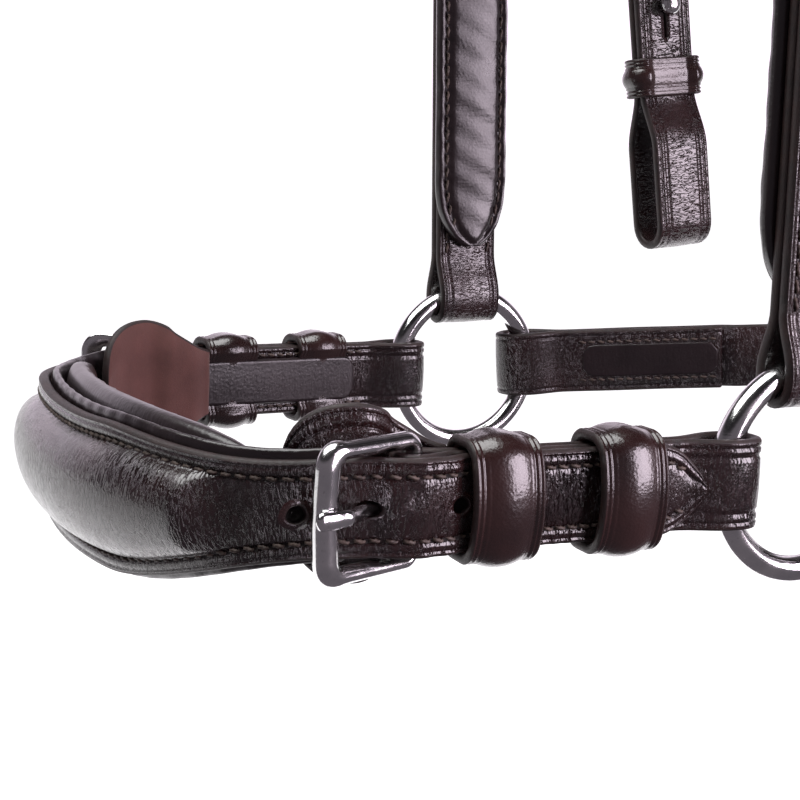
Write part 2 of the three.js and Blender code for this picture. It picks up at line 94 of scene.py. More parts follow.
# ---------------------------------------------------------------- straight stretches of strap
class Line:
    """A start, and the directions along the strap, across it and outward."""

    def __init__(self, start, along, wide):
        self.start = np.array(start, float)
        self.a = unit(along)
        self.w = unit(wide)
        self.o = np.cross(self.w, self.a)

    def at(self, along=0.0, out=0.0, wide=0.0):
        along, out, wide = (np.asarray(x, float)[..., None] for x in (along, out, wide))
        return self.start + self.a * along + self.o * out + self.w * wide

    def moved(self, along):
        return Line(self.at(along), self.a, self.w)

    def turned(self):
        """The same place seen from the strap's inner side."""
        return Line(self.start, self.a, -self.w)


def line_to_heel(start, tongue_joint):
    heel, bar = hinge(tongue_joint)
    return Line(start, heel - np.array(start), bar), float(np.linalg.norm(heel - np.array(start)))


side_line, NOSE_HEEL = line_to_heel((-RING_RADIUS, RING_SPAN, 0), "right_nose_tongue_lift")
cheek_line, CHEEK_HEEL = line_to_heel((0, RING_SPAN, RING_RADIUS), "right_cheek_tongue_lift")
bit_heel, bit_bar = hinge("right_bit_tongue_lift")
bit_along = np.array(joints["right_bit_keeper_slide"]["axis"])
BIT_HEEL = 225.0
bit_line = Line(bit_heel - bit_along * BIT_HEEL, bit_along, bit_bar)
THROAT_KNEE = np.array([98.0, 81.0, 190.0])
THROAT_LOW = np.array([110.0, 0.0, 96.0])
throat_line, THROAT_HEEL = line_to_heel(THROAT_KNEE, "right_throat_tongue_lift")


# ---------------------------------------------------------------- curved routes
def bezier(*controls):
    """Points along a Bezier curve, or a straight line where there are two controls."""
    t = np.linspace(0, 1, 160)[:, None]
    points = [np.repeat(np.array([c], float), len(t), axis=0) for c in controls]
    while len(points) > 1:
        points = [mix(p, q, t) for p, q in zip(points, points[1:])]
    return points[0]


class HalfCurve:
    """Half a route from the middle plane to the right; its frames cover both halves."""

    def __init__(self, pieces, outward_of):
        points = np.concatenate([pieces[0]] + [p[1:] for p in pieces[1:]])
        steps = np.linalg.norm(np.diff(points, axis=0), axis=1)
        self.s = np.concatenate([[0], np.cumsum(steps)])
        self.length = self.s[-1]
        self.points = points
        self.outward_of = outward_of

    def along(self, s, table):
        return np.stack([np.interp(s, self.s, table[:, k]) for k in range(3)], axis=-1)

    def frames(self, s):
        """Points, and the directions along, across and outward, at distances s from the middle."""
        s = np.asarray(s, float)
        reach = np.minimum(np.abs(s), self.length)
        points = self.along(reach, self.points)
        ahead = self.along(np.minimum(reach + 1.5, self.length), self.points)
        behind = self.along(np.maximum(reach - 1.5, 0), self.points)
        along = unit(ahead - behind)
        along[reach < 1.5, 0] *= reach[reach < 1.5] / 1.5
        along = unit(along)
        outward = self.outward_of(along)
        left = s < 0
        points[left, 1] *= -1
        along[left] *= (-1, 1, -1)
        outward[left, 1] *= -1
        wide = unit(np.cross(along, outward))
        return points, along, wide, np.cross(wide, along)


def stacked(x, y, z):
    return np.stack([x, y, z], axis=-1)


def nose_outward(a):
    return stacked(-a[:, 1], a[:, 0], 0 * a[:, 0])


def chin_outward(a):
    return stacked(a[:, 1], -a[:, 0], 0 * a[:, 0])


def throat_outward(a):
    return stacked(0 * a[:, 0], a[:, 2], -a[:, 1])


SIDE_END = (-100, 75.6, 3.7)
SIDE_START = (-RING_RADIUS, RING_SPAN, 0)
CHIN_MIDDLE = (112, 0, 3.6)
CHIN_BEND = (87, 41.3, 2.6)
CHIN_END = (RING_RADIUS, RING_SPAN, 0)
nose = HalfCurve([
    bezier((-142, 0, -1.2), (-142, 52, -1.2), (-124, 74.3, 6), SIDE_END),
    bezier(SIDE_END, SIDE_START),
], nose_outward)
chin = HalfCurve([
    bezier(CHIN_MIDDLE, (112, 26.3, 3.6), CHIN_BEND),
    bezier(CHIN_BEND, CHIN_END),
], chin_outward)
throat = HalfCurve([
    bezier(THROAT_LOW, (110, 48, 96), throat_line.at(-52), THROAT_KNEE),
    bezier(THROAT_KNEE, throat_line.at(THROAT_HEEL)),
], throat_outward)

CROWN_FOOT = 345.0
CROWN_RISE = 430.0 - CROWN_FOOT
CROWN_MIDDLE = -HOME[0]
CROWN_HALF = 23.0
arch_reach = cheek_line.at(CROWN_FOOT - RING_RADIUS, BILLET_INNER)[1]


def arch_frames(angle, wide=0.0, out=0.0):
    """The arch over the poll, at angles from its top, with points offset across it and outward."""
    angle = np.asarray(angle, float)
    zero = 0 * angle
    points = stacked(zero + CROWN_MIDDLE, arch_reach * np.sin(angle),
                     CROWN_FOOT + CROWN_RISE * np.cos(angle))
    along = unit(stacked(zero, arch_reach * np.cos(angle), -CROWN_RISE * np.sin(angle)))
    outward = stacked(zero, -along[:, 2], along[:, 1])
    across = np.cross(along, outward)
    offset = np.broadcast_to(wide, angle.shape)[:, None] * across
    return points + offset + outward * np.broadcast_to(out, angle.shape)[:, None], along, across, outward


# ---------------------------------------------------------------- raw shapes
class Shape:
    """Vertices, faces with a material each, a metric UV, and how rubbed and how wrinkled each vertex is."""

    def __init__(self):
        self.v, self.f, self.m, self.uv, self.rub, self.crackle = [], [], [], [], [], []
        self.count = 0

    def add(self, v, faces, mats, uv=None, rub=0.0, crackle=0.0):
        n = len(v)
        self.v.append(np.asarray(v, float))
        self.uv.append(np.zeros((n, 2)) if uv is None else np.asarray(uv, float))
        self.rub.append(np.broadcast_to(rub, (n,)))
        self.crackle.append(np.broadcast_to(crackle, (n,)))
        self.f += [tuple(int(i) + self.count for i in face) for face in faces]
        self.m += list(np.broadcast_to(mats, (len(faces),)))
        self.count += n
        return self

    def mirrored(self):
        other = Shape()
        other.count = self.count
        other.v = [v * (1, -1, 1) for v in self.v]
        other.f = [face[::-1] for face in self.f]
        other.m, other.uv, other.rub, other.crackle = self.m, self.uv, self.rub, self.crackle
        return other

    def joined(self, *others):
        for other in others:
            start = self.count
            self.v += other.v
            self.uv += other.uv
            self.rub += other.rub
            self.crackle += other.crackle
            self.f += [tuple(i + start for i in face) for face in other.f]
            self.m += other.m
            self.count += other.count
        return self


def grid_faces(rows, columns, closed_rows, closed_columns):
    """Quads of a grid, turned so that they face out of a ribbon."""
    i = np.arange(rows if closed_rows else rows - 1)
    j = np.arange(columns if closed_columns else columns - 1)
    i, j = np.meshgrid(i, j, indexing="ij")
    i, j = i.ravel(), j.ravel()
    up, over = (i + 1) % rows, (j + 1) % columns
    return np.stack([i * columns + j, i * columns + over, up * columns + over, up * columns + j], axis=1), j


# ---------------------------------------------------------------- cross sections
OUTSIDE, EDGE, INSIDE = 0, 1, 2


class Section:
    """A closed outline across a strap: each point is a share of the half width, less an inset from
    the edge, and a height over the inner face. Each stretch has a material."""

    def __init__(self, points, thickness):
        share, inset, height, mats, rub = (np.array(c, float) for c in zip(*points))
        self.share, self.inset, self.height, self.mats, self.rub = share, inset, height, mats.astype(int), rub
        self.thickness = thickness

    def across(self, half):
        """Distance from the middle at stations with these half widths."""
        half = np.asarray(half, float)[:, None]
        fit = np.minimum(1, half / (self.inset.max() + 1.2))
        return np.sign(self.share) * (np.abs(self.share) * half - self.inset * fit)


def strap_section(thickness=LEATHER, creases=(CREASE_INSET,), channels=(), crown=0.12, inside=INSIDE,
                  groove=0.28, soft=0.7, columns=9, flank=0.9):
    """Leather with burnished round edges, creased lines near them, and channels for the stitches."""
    face = [(soft, thickness - 0.05)]
    for at in creases:
        face += [(at - 0.45, thickness), (at - 0.15, thickness - groove), (at + 0.15, thickness - groove),
                 (at + 0.45, thickness)]
    for at in channels:
        face += [(at - 0.8, thickness), (at - 0.35, thickness - 0.3), (at + 0.35, thickness - 0.3),
                 (at + 0.8, thickness)]
    left = [(-1, inset, height, OUTSIDE, 0.35 if inset < 1 else 0) for inset, height in face]
    last = face[-1][0]
    middle = []
    for turn in np.linspace(-1, 1, columns):
        share = mix(turn, math.sin(turn * math.pi / 2), flank)
        middle.append((share, (last + 0.5) * abs(share), thickness + crown * (1 - share ** 2), OUTSIDE, 0))
    right = [(-share, inset, height, mat, rub) for share, inset, height, mat, rub in reversed(left)]
    round_right = [(1, 0.22, thickness - 0.3, EDGE, 1), (1, 0.0, thickness * 0.62, EDGE, 0.6),
                   (1, 0.0, thickness * 0.38, EDGE, 0.6), (1, 0.22, 0.3, EDGE, 0.8)]
    right[-1] = right[-1][:3] + (EDGE, 0.5)
    under = [(share, 0.7, 0, inside, 0) for share in (1, 0.5, 0, -0.5, -1)]
    under[-1] = under[-1][:3] + (EDGE, 0)
    round_left = [(-share, inset, height, EDGE, rub)
                  for share, inset, height, _, rub in reversed(round_right)]
    return Section(left + middle + right + round_right + under + round_left, thickness)


def roll_section(thickness, points=28, power=0.55, flat=0.0):
    """A soft padded roll: round at both edges, crowned on the faces, with its flat side inward."""
    outline = []
    for turn in np.linspace(0, 2 * math.pi, points, endpoint=False):
        share = math.copysign(abs(math.cos(turn)) ** power, math.cos(turn))
        rise = math.copysign(abs(math.sin(turn)) ** 0.75, math.sin(turn))
        height = thickness / 2 * (1 + (rise if rise > 0 else rise * (1 - flat)))
        outline.append((-share, 0, height, OUTSIDE, 0))
    return Section(outline, thickness)


# ---------------------------------------------------------------- ribbons
def wobble(s, size, phase):
    """The small unevenness of cut leather."""
    waves = np.sin(s / 11.3 + phase) + 0.6 * np.sin(s / 4.7 + 2.1 * phase) + 0.4 * np.sin(s / 29 + phase)
    return size * waves


def ribbon(points, wide, half, section, closed=False, middle=0.0, raise_by=None, crackle=0.0, ends=True,
           phase=0.0):
    """A strap swept along points, wide giving its width's direction. raise_by(s, across) lifts the skin."""
    points = np.asarray(points, float)
    n = len(points)
    wide = np.broadcast_to(wide, (n, 3))
    if closed:
        along = unit(np.roll(points, -1, axis=0) - np.roll(points, 1, axis=0))
        steps = np.linalg.norm(np.roll(points, -1, axis=0) - points, axis=1)
        s = np.concatenate([[0], np.cumsum(steps)[:-1]])
    else:
        along = unit(np.gradient(points, axis=0))
        s = np.concatenate([[0], np.cumsum(np.linalg.norm(np.diff(points, axis=0), axis=1))])
    half = np.broadcast_to(np.asarray(half, float), (n,)).copy()
    middle = np.broadcast_to(np.asarray(middle, float), (n,)).copy()
    if not closed:
        half += wobble(s, 0.05, phase)
    thin = np.ones(n)
    if ends and not closed:
        points, wide, along, half, middle, s, thin = rounded_ends(points, wide, along, half, middle, s, thin)
        n = len(points)
    outward = np.cross(wide, along)
    across = section.across(half) + middle[:, None]
    core = section.thickness / 2
    height = core + (section.height[None, :] - core) * thin[:, None]
    if raise_by is not None:
        height = height + raise_by(s[:, None], across, section.height[None, :])
    v = points[:, None, :] + wide[:, None, :] * across[:, :, None] + outward[:, None, :] * height[:, :, None]
    columns = len(section.share)
    faces, j = grid_faces(n, columns, closed, True)
    uv = np.stack([np.broadcast_to(s[:, None], across.shape), across], axis=-1).reshape(-1, 2) / 100
    rub = np.broadcast_to(section.rub[None, :], across.shape).ravel()
    if callable(crackle):
        crackle = np.broadcast_to(crackle(s)[:, None], across.shape).ravel()
    shape = Shape().add(v.reshape(-1, 3), faces, section.mats[j], uv, rub, crackle)
    if not closed:
        cap = list(range(columns))
        shape.f += [tuple(cap[::-1]), tuple((n - 1) * columns + k for k in cap)]
        shape.m += [EDGE, EDGE]
    return shape


def rounded_ends(points, wide, along, half, middle, s, thin):
    """Adds two narrower, thinner stations past each end, so that the cut end is rounded."""
    steps = [(0.35, 0.25, 0.8), (0.5, 0.6, 0.4)]
    for first in (True, False):
        k, sign = (0, -1) if first else (-1, 1)
        extra = [(points[k] + along[k] * sign * ahead, wide[k], along[k], max(half[k] - less, 0.3), middle[k],
                  s[k] + sign * ahead, share) for ahead, less, share in steps]
        if first:
            extra = extra[::-1]
        columns = [np.array(c) for c in zip(*extra)]
        order = (lambda old, new: np.concatenate([new, old])) if first else (
            lambda old, new: np.concatenate([old, new]))
        points, wide, along, half, middle, s, thin = (
            order(old, new) for old, new in zip((points, wide, along, half, middle, s, thin), columns))
    return points, wide, along, half, middle, s, thin


# ---------------------------------------------------------------- folds round bars and wires
def eye_arc(centre, radius, sign, turns=14):
    """Half a turn round a bar, from the outer layer to the inner one; sign is the fold's direction."""
    angle = np.linspace(math.pi / 2, -math.pi / 2, turns)
    return np.stack([centre + sign * radius * np.cos(angle), radius * np.sin(angle)], axis=1)


def flank(start, end, steps=10):
    """The layer easing from the flat to the eye, as points along and out."""
    t = np.linspace(0, 1, steps)
    eased = t * t * (3 - 2 * t)
    return np.stack([mix(start[0], end[0], t), mix(start[1], end[1], eased)], axis=1)


def straight(start, end, height, pitch=2.0):
    count = max(int(abs(end - start) / pitch), 2)
    x = np.linspace(start, end, count)
    return np.stack([x, 0 * x + height], axis=1)


RING_EYE = {"at": 0.0, "reach": 2.3, "radius": RING_WIRE + 0.5, "taper": 13.0}
HEEL_EYE = {"reach": 0.0, "radius": 2.45, "taper": 8.0}


def folded_path(start, end):
    """The middle of the leather round two eyes: out along the outer layer and back along the inner."""
    flat = FOLD_HALF - LEATHER / 2
    parts = []
    for eye, sign, height in ((end, 1, 1), (start, -1, -1)):
        radius = eye["radius"] + LEATHER / 2
        rim = eye["at"] + sign * eye["reach"]
        near = (eye["at"] - sign * eye["taper"], height * flat)
        parts.append(flank(near, (eye["at"], height * radius)))
        arc = eye_arc(rim, radius, sign)
        parts.append(arc if sign > 0 else arc[::-1])
        parts.append(flank((eye["at"], -height * radius), (near[0], -height * flat)))
    outer = straight(start["at"] + start["taper"], end["at"] - end["taper"], flat)[1:-1]
    inner = straight(end["at"] - end["taper"], start["at"] + start["taper"], -flat)[1:-1]
    path = np.concatenate([outer, *parts[:3], inner, *parts[3:]])
    keep = np.linalg.norm(path - np.roll(path, 1, axis=0), axis=1) > 0.05
    return path[keep]


def folded_strap(line, start, end, half=STRAP_HALF, section=None, crackle=0.0):
    path = folded_path(start, end)
    section = section or strap_section(creases=(CREASE_INSET,), channels=(STITCH_INSET,))
    centred = Section(list(zip(section.share, section.inset, section.height - LEATHER / 2, section.mats,
                               section.rub)), 0.0)
    return ribbon(line.at(path[:, 0], path[:, 1]), line.w, half, centred, closed=True, crackle=crackle)


# ---------------------------------------------------------------- stitches
def stitch_template(length, radius, rings=9, sides=8):
    """One stitch of two-ply thread, arched so that its ends go down into the leather."""
    t = np.linspace(-1, 1, rings)[:, None]
    turn = np.linspace(0, 2 * math.pi, sides, endpoint=False)[None, :]
    ply = 1 + 0.34 * np.cos(2 * (turn - 3.4 * t))
    taper = np.sqrt(np.maximum(1 - 0.55 * t ** 4, 0.2))
    r = radius * ply * taper
    x = t * length / 2 + 0 * turn
    y = r * np.sin(turn) + radius * (0.75 - 1.5 * t ** 4)
    z = r * np.cos(turn)
    v = np.stack([x, y, z], axis=-1).reshape(-1, 3)
    faces, _ = grid_faces(rings, sides, False, True)
    caps = [tuple(range(sides))[::-1], tuple((rings - 1) * sides + k for k in range(sides))]
    return v, [tuple(face[::-1]) for face in faces] + [cap[::-1] for cap in caps]


def painted_shade_awl_hole(radius=0.5, sides=8):
    """The mouth of the hole between two stitches: a slanted cut, a little dished; it is drawn in the
    near-black painted shade that stands in for the hole's depth.
    """
    turn = np.linspace(0, 2 * math.pi, sides, endpoint=False)
    rim = np.stack([radius * 1.25 * np.cos(turn), 0 * turn + 0.06, radius * 0.8 * np.sin(turn)], axis=1)
    v = np.concatenate([rim, [[0, -0.25, 0]]])
    return v, [(k, sides, (k + 1) % sides) for k in range(sides)]


def stitches(points, along, outward, pitch, radius=0.40, slant=0.20):
    """Stitches, and awl holes as dishes of painted shade, at points on the skin, a pitch apart."""
    shape = Shape()
    thread_v, thread_f = stitch_template(pitch * 0.92, radius)
    shade_dish_v, shade_dish_f = painted_shade_awl_hole(radius * 1.55)
    wide = np.cross(along, outward)
    for p, a, o, w in zip(points, along, outward, wide):
        lean = slant + random.uniform(-0.08, 0.08)
        lie = math.cos(lean) * a + math.sin(lean) * w
        basis = np.stack([lie, o, np.cross(lie, o)])
        lift = random.uniform(-0.05, 0.05)
        shape.add(p + o * (lift - 0.12) + thread_v @ basis, thread_f, 0)
        # The awl hole: a dish in material 1, the painted shade standing in for the hole's depth.
        shape.add(p + a * pitch / 2 + shade_dish_v @ basis, shade_dish_f, 1)
    return shape


def stitch_rows(frames_at, start, end, insets, pitch):
    """Rows of stitches along a route: frames_at(distances, inset) gives points and directions."""
    shape = Shape()
    count = max(int(round(abs(end - start) / pitch)), 1)
    distances = start + (np.arange(count) + 0.5) * (end - start) / count
    for inset in insets:
        points, along, outward = frames_at(distances, inset)
        if end < start:
            along = -along
        shape.joined(stitches(points, along, outward, pitch))
    return shape


def on_line(line, out):
    """Frames on a straight stretch's skin, for stitch_rows."""
    def frames_at(distances, wide):
        n = len(distances)
        points = line.at(distances, out + 0 * distances, wide + 0 * distances)
        return points, np.broadcast_to(line.a, (n, 3)), np.broadcast_to(line.o, (n, 3))
    return frames_at


# ---------------------------------------------------------------- building objects
def build(name, shape, materials, body, node=None, smooth_shade=True):
    """Makes the object from a shape, in metres in the frame, and rides it on its body."""
    mesh = bpy.data.meshes.new(name)
    v = (np.concatenate(shape.v) + HOME) * MM
    mesh.from_pydata(v.tolist(), [], shape.f)
    for material in materials:
        mesh.materials.append(material)
    mesh.polygons.foreach_set("material_index", np.array(shape.m, np.int32))
    mesh.polygons.foreach_set("use_smooth", np.full(len(mesh.polygons), smooth_shade))
    uv = mesh.uv_layers.new(name="metric")
    loop_vertex = np.zeros(len(mesh.loops), np.int32)
    mesh.loops.foreach_get("vertex_index", loop_vertex)
    uv.data.foreach_set("uv", np.concatenate(shape.uv)[loop_vertex].astype(np.float32).ravel())
    for label, values in (("rub", shape.rub), ("crackle", shape.crackle)):
        attribute = mesh.attributes.new(label, "FLOAT", "POINT")
        attribute.data.foreach_set("value", np.concatenate(values).astype(np.float32))
    mesh.validate()
    mesh.update()
    obj = bpy.data.objects.new(name, mesh)
    bpy.context.scene.collection.objects.link(obj)
    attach(obj, body)
    if node:
        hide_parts(node)
    return obj


def cut_holes(obj, cutters):
    """Punches the cutters' shapes out of an object, with the raw edge's material inside the holes."""
    shape = Shape().joined(*cutters)
    tool = build("cutter", shape, list(obj.data.materials), "headpiece")
    modifier = obj.modifiers.new("holes", "BOOLEAN")
    modifier.operation = "DIFFERENCE"
    modifier.solver = "EXACT"
    modifier.object = tool
    graph = bpy.context.evaluated_depsgraph_get()
    cut = bpy.data.meshes.new_from_object(obj.evaluated_get(graph))
    obj.modifiers.clear()
    obj.data = cut
    bpy.data.objects.remove(tool)


def punch(line, at, radius=1.7, depth=8.0, sides=20, stretch=1.0, wide=0.0):
    """A round or oval cutter through a strap, standing on its line."""
    turn = np.linspace(0, 2 * math.pi, sides, endpoint=False)
    ends = [BILLET_INNER + LEATHER / 2 + end * depth / 2 for end in (-1, 1)]
    ring = [line.at(at + stretch * radius * np.cos(turn), out + 0 * turn, wide + radius * np.sin(turn))
            for out in ends]
    faces, _ = grid_faces(2, sides, False, True)
    caps = [tuple(range(sides)), tuple(sides + k for k in range(sides))[::-1]]
    return Shape().add(np.concatenate(ring), [tuple(face[::-1]) for face in faces] + caps, EDGE, rub=0.4)


# ---------------------------------------------------------------- material helpers
class Nodes:
    """A material's node tree, with short calls to add nodes and link them."""

    def __init__(self, name):
        self.material = bpy.data.materials.new(name)
        self.material.use_nodes = True
        self.tree = self.material.node_tree
        self.tree.nodes.clear()
        self.shader = self.add("ShaderNodeBsdfPrincipled")
        output = self.add("ShaderNodeOutputMaterial")
        self.tree.links.new(self.shader.outputs[0], output.inputs[0])

    def add(self, kind, **settings):
        node = self.tree.nodes.new(kind)
        for key, value in settings.items():
            setattr(node, key, value)
        return node

    def link(self, source, target):
        self.tree.links.new(source, target)

    def set(self, node, **values):
        for key, value in values.items():
            socket = node.inputs[key.replace("_", " ")]
            if hasattr(value, "is_output"):
                self.link(value, socket)
            else:
                socket.default_value = value
        return node

    def attribute(self, name):
        return self.add("ShaderNodeAttribute", attribute_name=name).outputs["Fac"]

    def coords(self, kind="Object", scale=(1, 1, 1)):
        source = self.add("ShaderNodeTexCoord").outputs[kind]
        mapping = self.add("ShaderNodeMapping")
        self.link(source, mapping.inputs["Vector"])
        mapping.inputs["Scale"].default_value = scale
        return mapping.outputs[0]

    def noise(self, coords, scale, detail=3.0, rough=0.55, distortion=0.0):
        node = self.add("ShaderNodeTexNoise")
        self.set(node, Vector=coords, Scale=scale, Detail=detail, Roughness=rough, Distortion=distortion)
        return node.outputs["Fac"]

    def cells(self, coords, scale, feature="F1"):
        node = self.add("ShaderNodeTexVoronoi", feature=feature)
        self.set(node, Vector=coords, Scale=scale)
        return node.outputs["Distance"]

    def range(self, value, low, high, to_low, to_high):
        node = self.add("ShaderNodeMapRange")
        self.link(value, node.inputs["Value"])
        for socket, number in zip(("From Min", "From Max", "To Min", "To Max"), (low, high, to_low, to_high)):
            node.inputs[socket].default_value = number
        return node.outputs[0]

    def math(self, operation, a, b):
        node = self.add("ShaderNodeMath", operation=operation)
        for socket, value in zip(node.inputs, (a, b)):
            if hasattr(value, "is_output"):
                self.link(value, socket)
            else:
                socket.default_value = value
        return node.outputs[0]

    def blend(self, factor, a, b):
        """Colour a where the factor is 0 and b where it is 1."""
        node = self.add("ShaderNodeMix", data_type="RGBA")
        self.link(factor, node.inputs["Factor"])
        for socket, value in ((node.inputs[6], a), (node.inputs[7], b)):
            if hasattr(value, "is_output"):
                self.link(value, socket)
            else:
                socket.default_value = (*value, 1)
        return node.outputs[2]

    def bump(self, height, distance, strength=1.0, under=None):
        node = self.add("ShaderNodeBump")
        node.inputs["Distance"].default_value = distance
        node.inputs["Strength"].default_value = strength
        self.link(height, node.inputs["Height"])
        if under is not None:
            self.link(under, node.inputs["Normal"])
        return node.outputs[0]


DARK = (0.0085, 0.0034, 0.0040)
BROWN = (0.0230, 0.0080, 0.0080)
RUSSET = (0.038, 0.0130, 0.0105)
FLESH = (0.135, 0.052, 0.043)


def leather_material(name, dark=DARK, light=BROWN, rubbed=RUSSET, grain=1.0, rough=(0.17, 0.31), coat=0.5,
                     wrinkle=1.0):
    """Waxed bridle leather: pores, fine cross wrinkles, cracks where it has been bent, rubbed edges."""
    n = Nodes(name)
    place = n.coords("Object")
    strip = n.coords("UV", (100, 100, 1))                    # millimetres along and across
    clouds = n.noise(place, 45, 4)
    cross = n.noise(n.coords("UV", (190, 26, 1)), 1.0, 5, 0.62, 0.25)
    cracks = n.noise(n.coords("UV", (150, 34, 1)), 1.0, 3, 0.5, 0.9)
    crack_lines = n.range(n.math("ABSOLUTE", n.math("SUBTRACT", cracks, 0.5), 0), 0.0, 0.05, 0.0, 1.0)
    pores = n.cells(place, 1500)
    pebbles = n.cells(place, 700, "SMOOTH_F1")
    speck = n.noise(strip, 3.2, 2)
    tone = n.blend(n.range(clouds, 0.35, 0.68, 0, 1), dark, light)
    tone = n.blend(n.range(cross, 0.52, 0.75, 0, 0.22 * wrinkle), tone, light)
    worn = n.math("MULTIPLY", n.attribute("rub"), n.range(speck, 0.3, 0.7, 0.35, 1.0))
    tone = n.blend(worn, tone, rubbed)
    n.link(tone, n.shader.inputs["Base Color"])
    roughness = n.range(n.math("ADD", n.math("MULTIPLY", clouds, 0.5), n.math("MULTIPLY", speck, 0.5)),
                        0.3, 0.7, *rough)
    n.link(roughness, n.shader.inputs["Roughness"])
    n.set(n.shader, Specular_IOR_Level=0.5, Coat_Weight=coat, Coat_Roughness=0.14)
    pore_bump = n.bump(pores, 0.00006 * grain, 0.55)
    pebble_bump = n.bump(pebbles, 0.00006 * grain, 0.5, pore_bump)
    crumple = n.bump(n.noise(place, 620, 4, 0.6), 0.00006 * grain, 0.5, pebble_bump)
    cross_bump = n.bump(cross, 0.00003 * wrinkle, 0.5, crumple)
    deep = n.math("MULTIPLY", crack_lines, n.attribute("crackle"))
    normal = n.bump(deep, 0.00060, 0.95, cross_bump)
    n.link(normal, n.shader.inputs["Normal"])
    n.link(normal, n.shader.inputs["Coat Normal"])
    return n.material


def soft_leather_material():
    """The thin, even leather over the padding: a fine matt grain with soft puckers."""
    n = Nodes("padded_leather")
    place = n.coords("Object")
    clouds = n.noise(place, 38, 4)
    grain = n.cells(place, 1300, "SMOOTH_F1")
    puckers = n.noise(n.coords("UV", (60, 9, 1)), 1.0, 3, 0.5)
    tone = n.blend(n.range(clouds, 0.35, 0.7, 0, 1), (0.0080, 0.0042, 0.0052), (0.0170, 0.0090, 0.0105))
    n.link(tone, n.shader.inputs["Base Color"])
    n.link(n.range(clouds, 0.3, 0.7, 0.26, 0.40), n.shader.inputs["Roughness"])
    n.set(n.shader, Coat_Weight=0.2, Coat_Roughness=0.28)
    grain_bump = n.bump(grain, 0.00010, 0.5)
    n.link(n.bump(puckers, 0.0004, 0.25, grain_bump), n.shader.inputs["Normal"])
    return n.material


def flesh_material():
    """The undyed flesh side: short brown fibres, quite matt."""
    n = Nodes("flesh_leather")
    place = n.coords("Object")
    fibres = n.noise(place, 2400, 5, 0.7)
    patches = n.noise(place, 120, 4)
    tone = n.blend(n.range(patches, 0.3, 0.7, 0, 1), (0.085, 0.032, 0.026), FLESH)
    tone = n.blend(n.range(fibres, 0.4, 0.75, 0, 0.5), tone, (0.150, 0.066, 0.050))
    n.link(tone, n.shader.inputs["Base Color"])
    n.link(n.range(fibres, 0.3, 0.7, 0.78, 0.95), n.shader.inputs["Roughness"])
    n.set(n.shader, Sheen_Weight=0.25, Sheen_Roughness=0.5)
    n.link(n.bump(fibres, 0.00016, 0.7), n.shader.inputs["Normal"])
    return n.material


def edge_material():
    """Cut edges, dyed, waxed and rubbed round: layered fibres running along them."""
    n = Nodes("raw_edge")
    place = n.coords("Object")
    fibres = n.noise(n.coords("UV", (90, 900, 1)), 1.0, 4, 0.6)
    patches = n.noise(place, 260, 4)
    speck = n.noise(place, 2100, 3)
    tone = n.blend(n.range(patches, 0.32, 0.68, 0, 1), (0.0070, 0.0030, 0.0029), (0.019, 0.0068, 0.0058))
    tone = n.blend(n.range(speck, 0.55, 0.80, 0, 0.5), tone, (0.048, 0.018, 0.014))
    n.link(tone, n.shader.inputs["Base Color"])
    n.link(n.range(speck, 0.3, 0.7, 0.42, 0.66), n.shader.inputs["Roughness"])
    lines = n.bump(fibres, 0.00022, 0.5)
    n.link(n.bump(speck, 0.00008, 0.6, lines), n.shader.inputs["Normal"])
    return n.material


def thread_material():
    n = Nodes("waxed_thread")
    place = n.coords("Object")
    fibres = n.noise(place, 3600, 3, 0.6)
    shade = n.noise(place, 420, 3)
    tone = n.blend(n.range(shade, 0.3, 0.7, 0, 1), (0.024, 0.015, 0.012), (0.085, 0.058, 0.046))
    tone = n.blend(n.range(fibres, 0.45, 0.8, 0, 0.5), tone, (0.17, 0.125, 0.10))
    n.link(tone, n.shader.inputs["Base Color"])
    n.link(n.range(fibres, 0.3, 0.7, 0.45, 0.7), n.shader.inputs["Roughness"])
    n.link(n.bump(fibres, 0.00006, 0.7), n.shader.inputs["Normal"])
    return n.material


def hole_shade_material():
    # Painted shade: a near-black colour standing in for the shadow down inside awl holes and punched holes.
    n = Nodes("painted_shade_awl_hole")
    depth = n.noise(n.coords("Object"), 1800, 2)
    n.link(n.blend(depth, (0.004, 0.003, 0.003), (0.014, 0.008, 0.007)), n.shader.inputs["Base Color"])
    n.link(n.range(depth, 0.3, 0.7, 0.7, 0.95), n.shader.inputs["Roughness"])
    return n.material


def steel_material():
    """Polished stainless steel with faint hairlines, handling marks and a few darker spots."""
    n = Nodes("polished_steel")
    place = n.coords("Object")
    hair = n.noise(n.coords("Object", (40, 40, 900)), 3.0, 3, 0.6)
    dull = n.noise(place, 130, 4)
    spots = n.noise(place, 900, 3)
    tone = n.blend(n.range(dull, 0.35, 0.7, 0, 1), (0.60, 0.60, 0.61), (0.74, 0.73, 0.73))
    tone = n.blend(n.range(spots, 0.62, 0.80, 0, 0.55), tone, (0.36, 0.35, 0.35))
    n.link(tone, n.shader.inputs["Base Color"])
    n.set(n.shader, Metallic=1.0)
    n.link(n.range(n.math("ADD", n.math("MULTIPLY", dull, 0.7), n.math("MULTIPLY", spots, 0.3)),
                   0.35, 0.68, 0.09, 0.22), n.shader.inputs["Roughness"])
    ripple = n.bump(dull, 0.0006, 0.12)
    n.link(n.bump(hair, 0.00003, 0.3, ripple), n.shader.inputs["Normal"])
    return n.material


grain_leather = leather_material("bridle_leather")
keeper_leather = leather_material("keeper_leather", dark=(0.0115, 0.0044, 0.0044),
                                  light=(0.0290, 0.0096, 0.0085), wrinkle=0.3, rough=(0.22, 0.36))
soft_leather = soft_leather_material()
flesh_leather = flesh_material()
raw_edge = edge_material()
thread = thread_material()
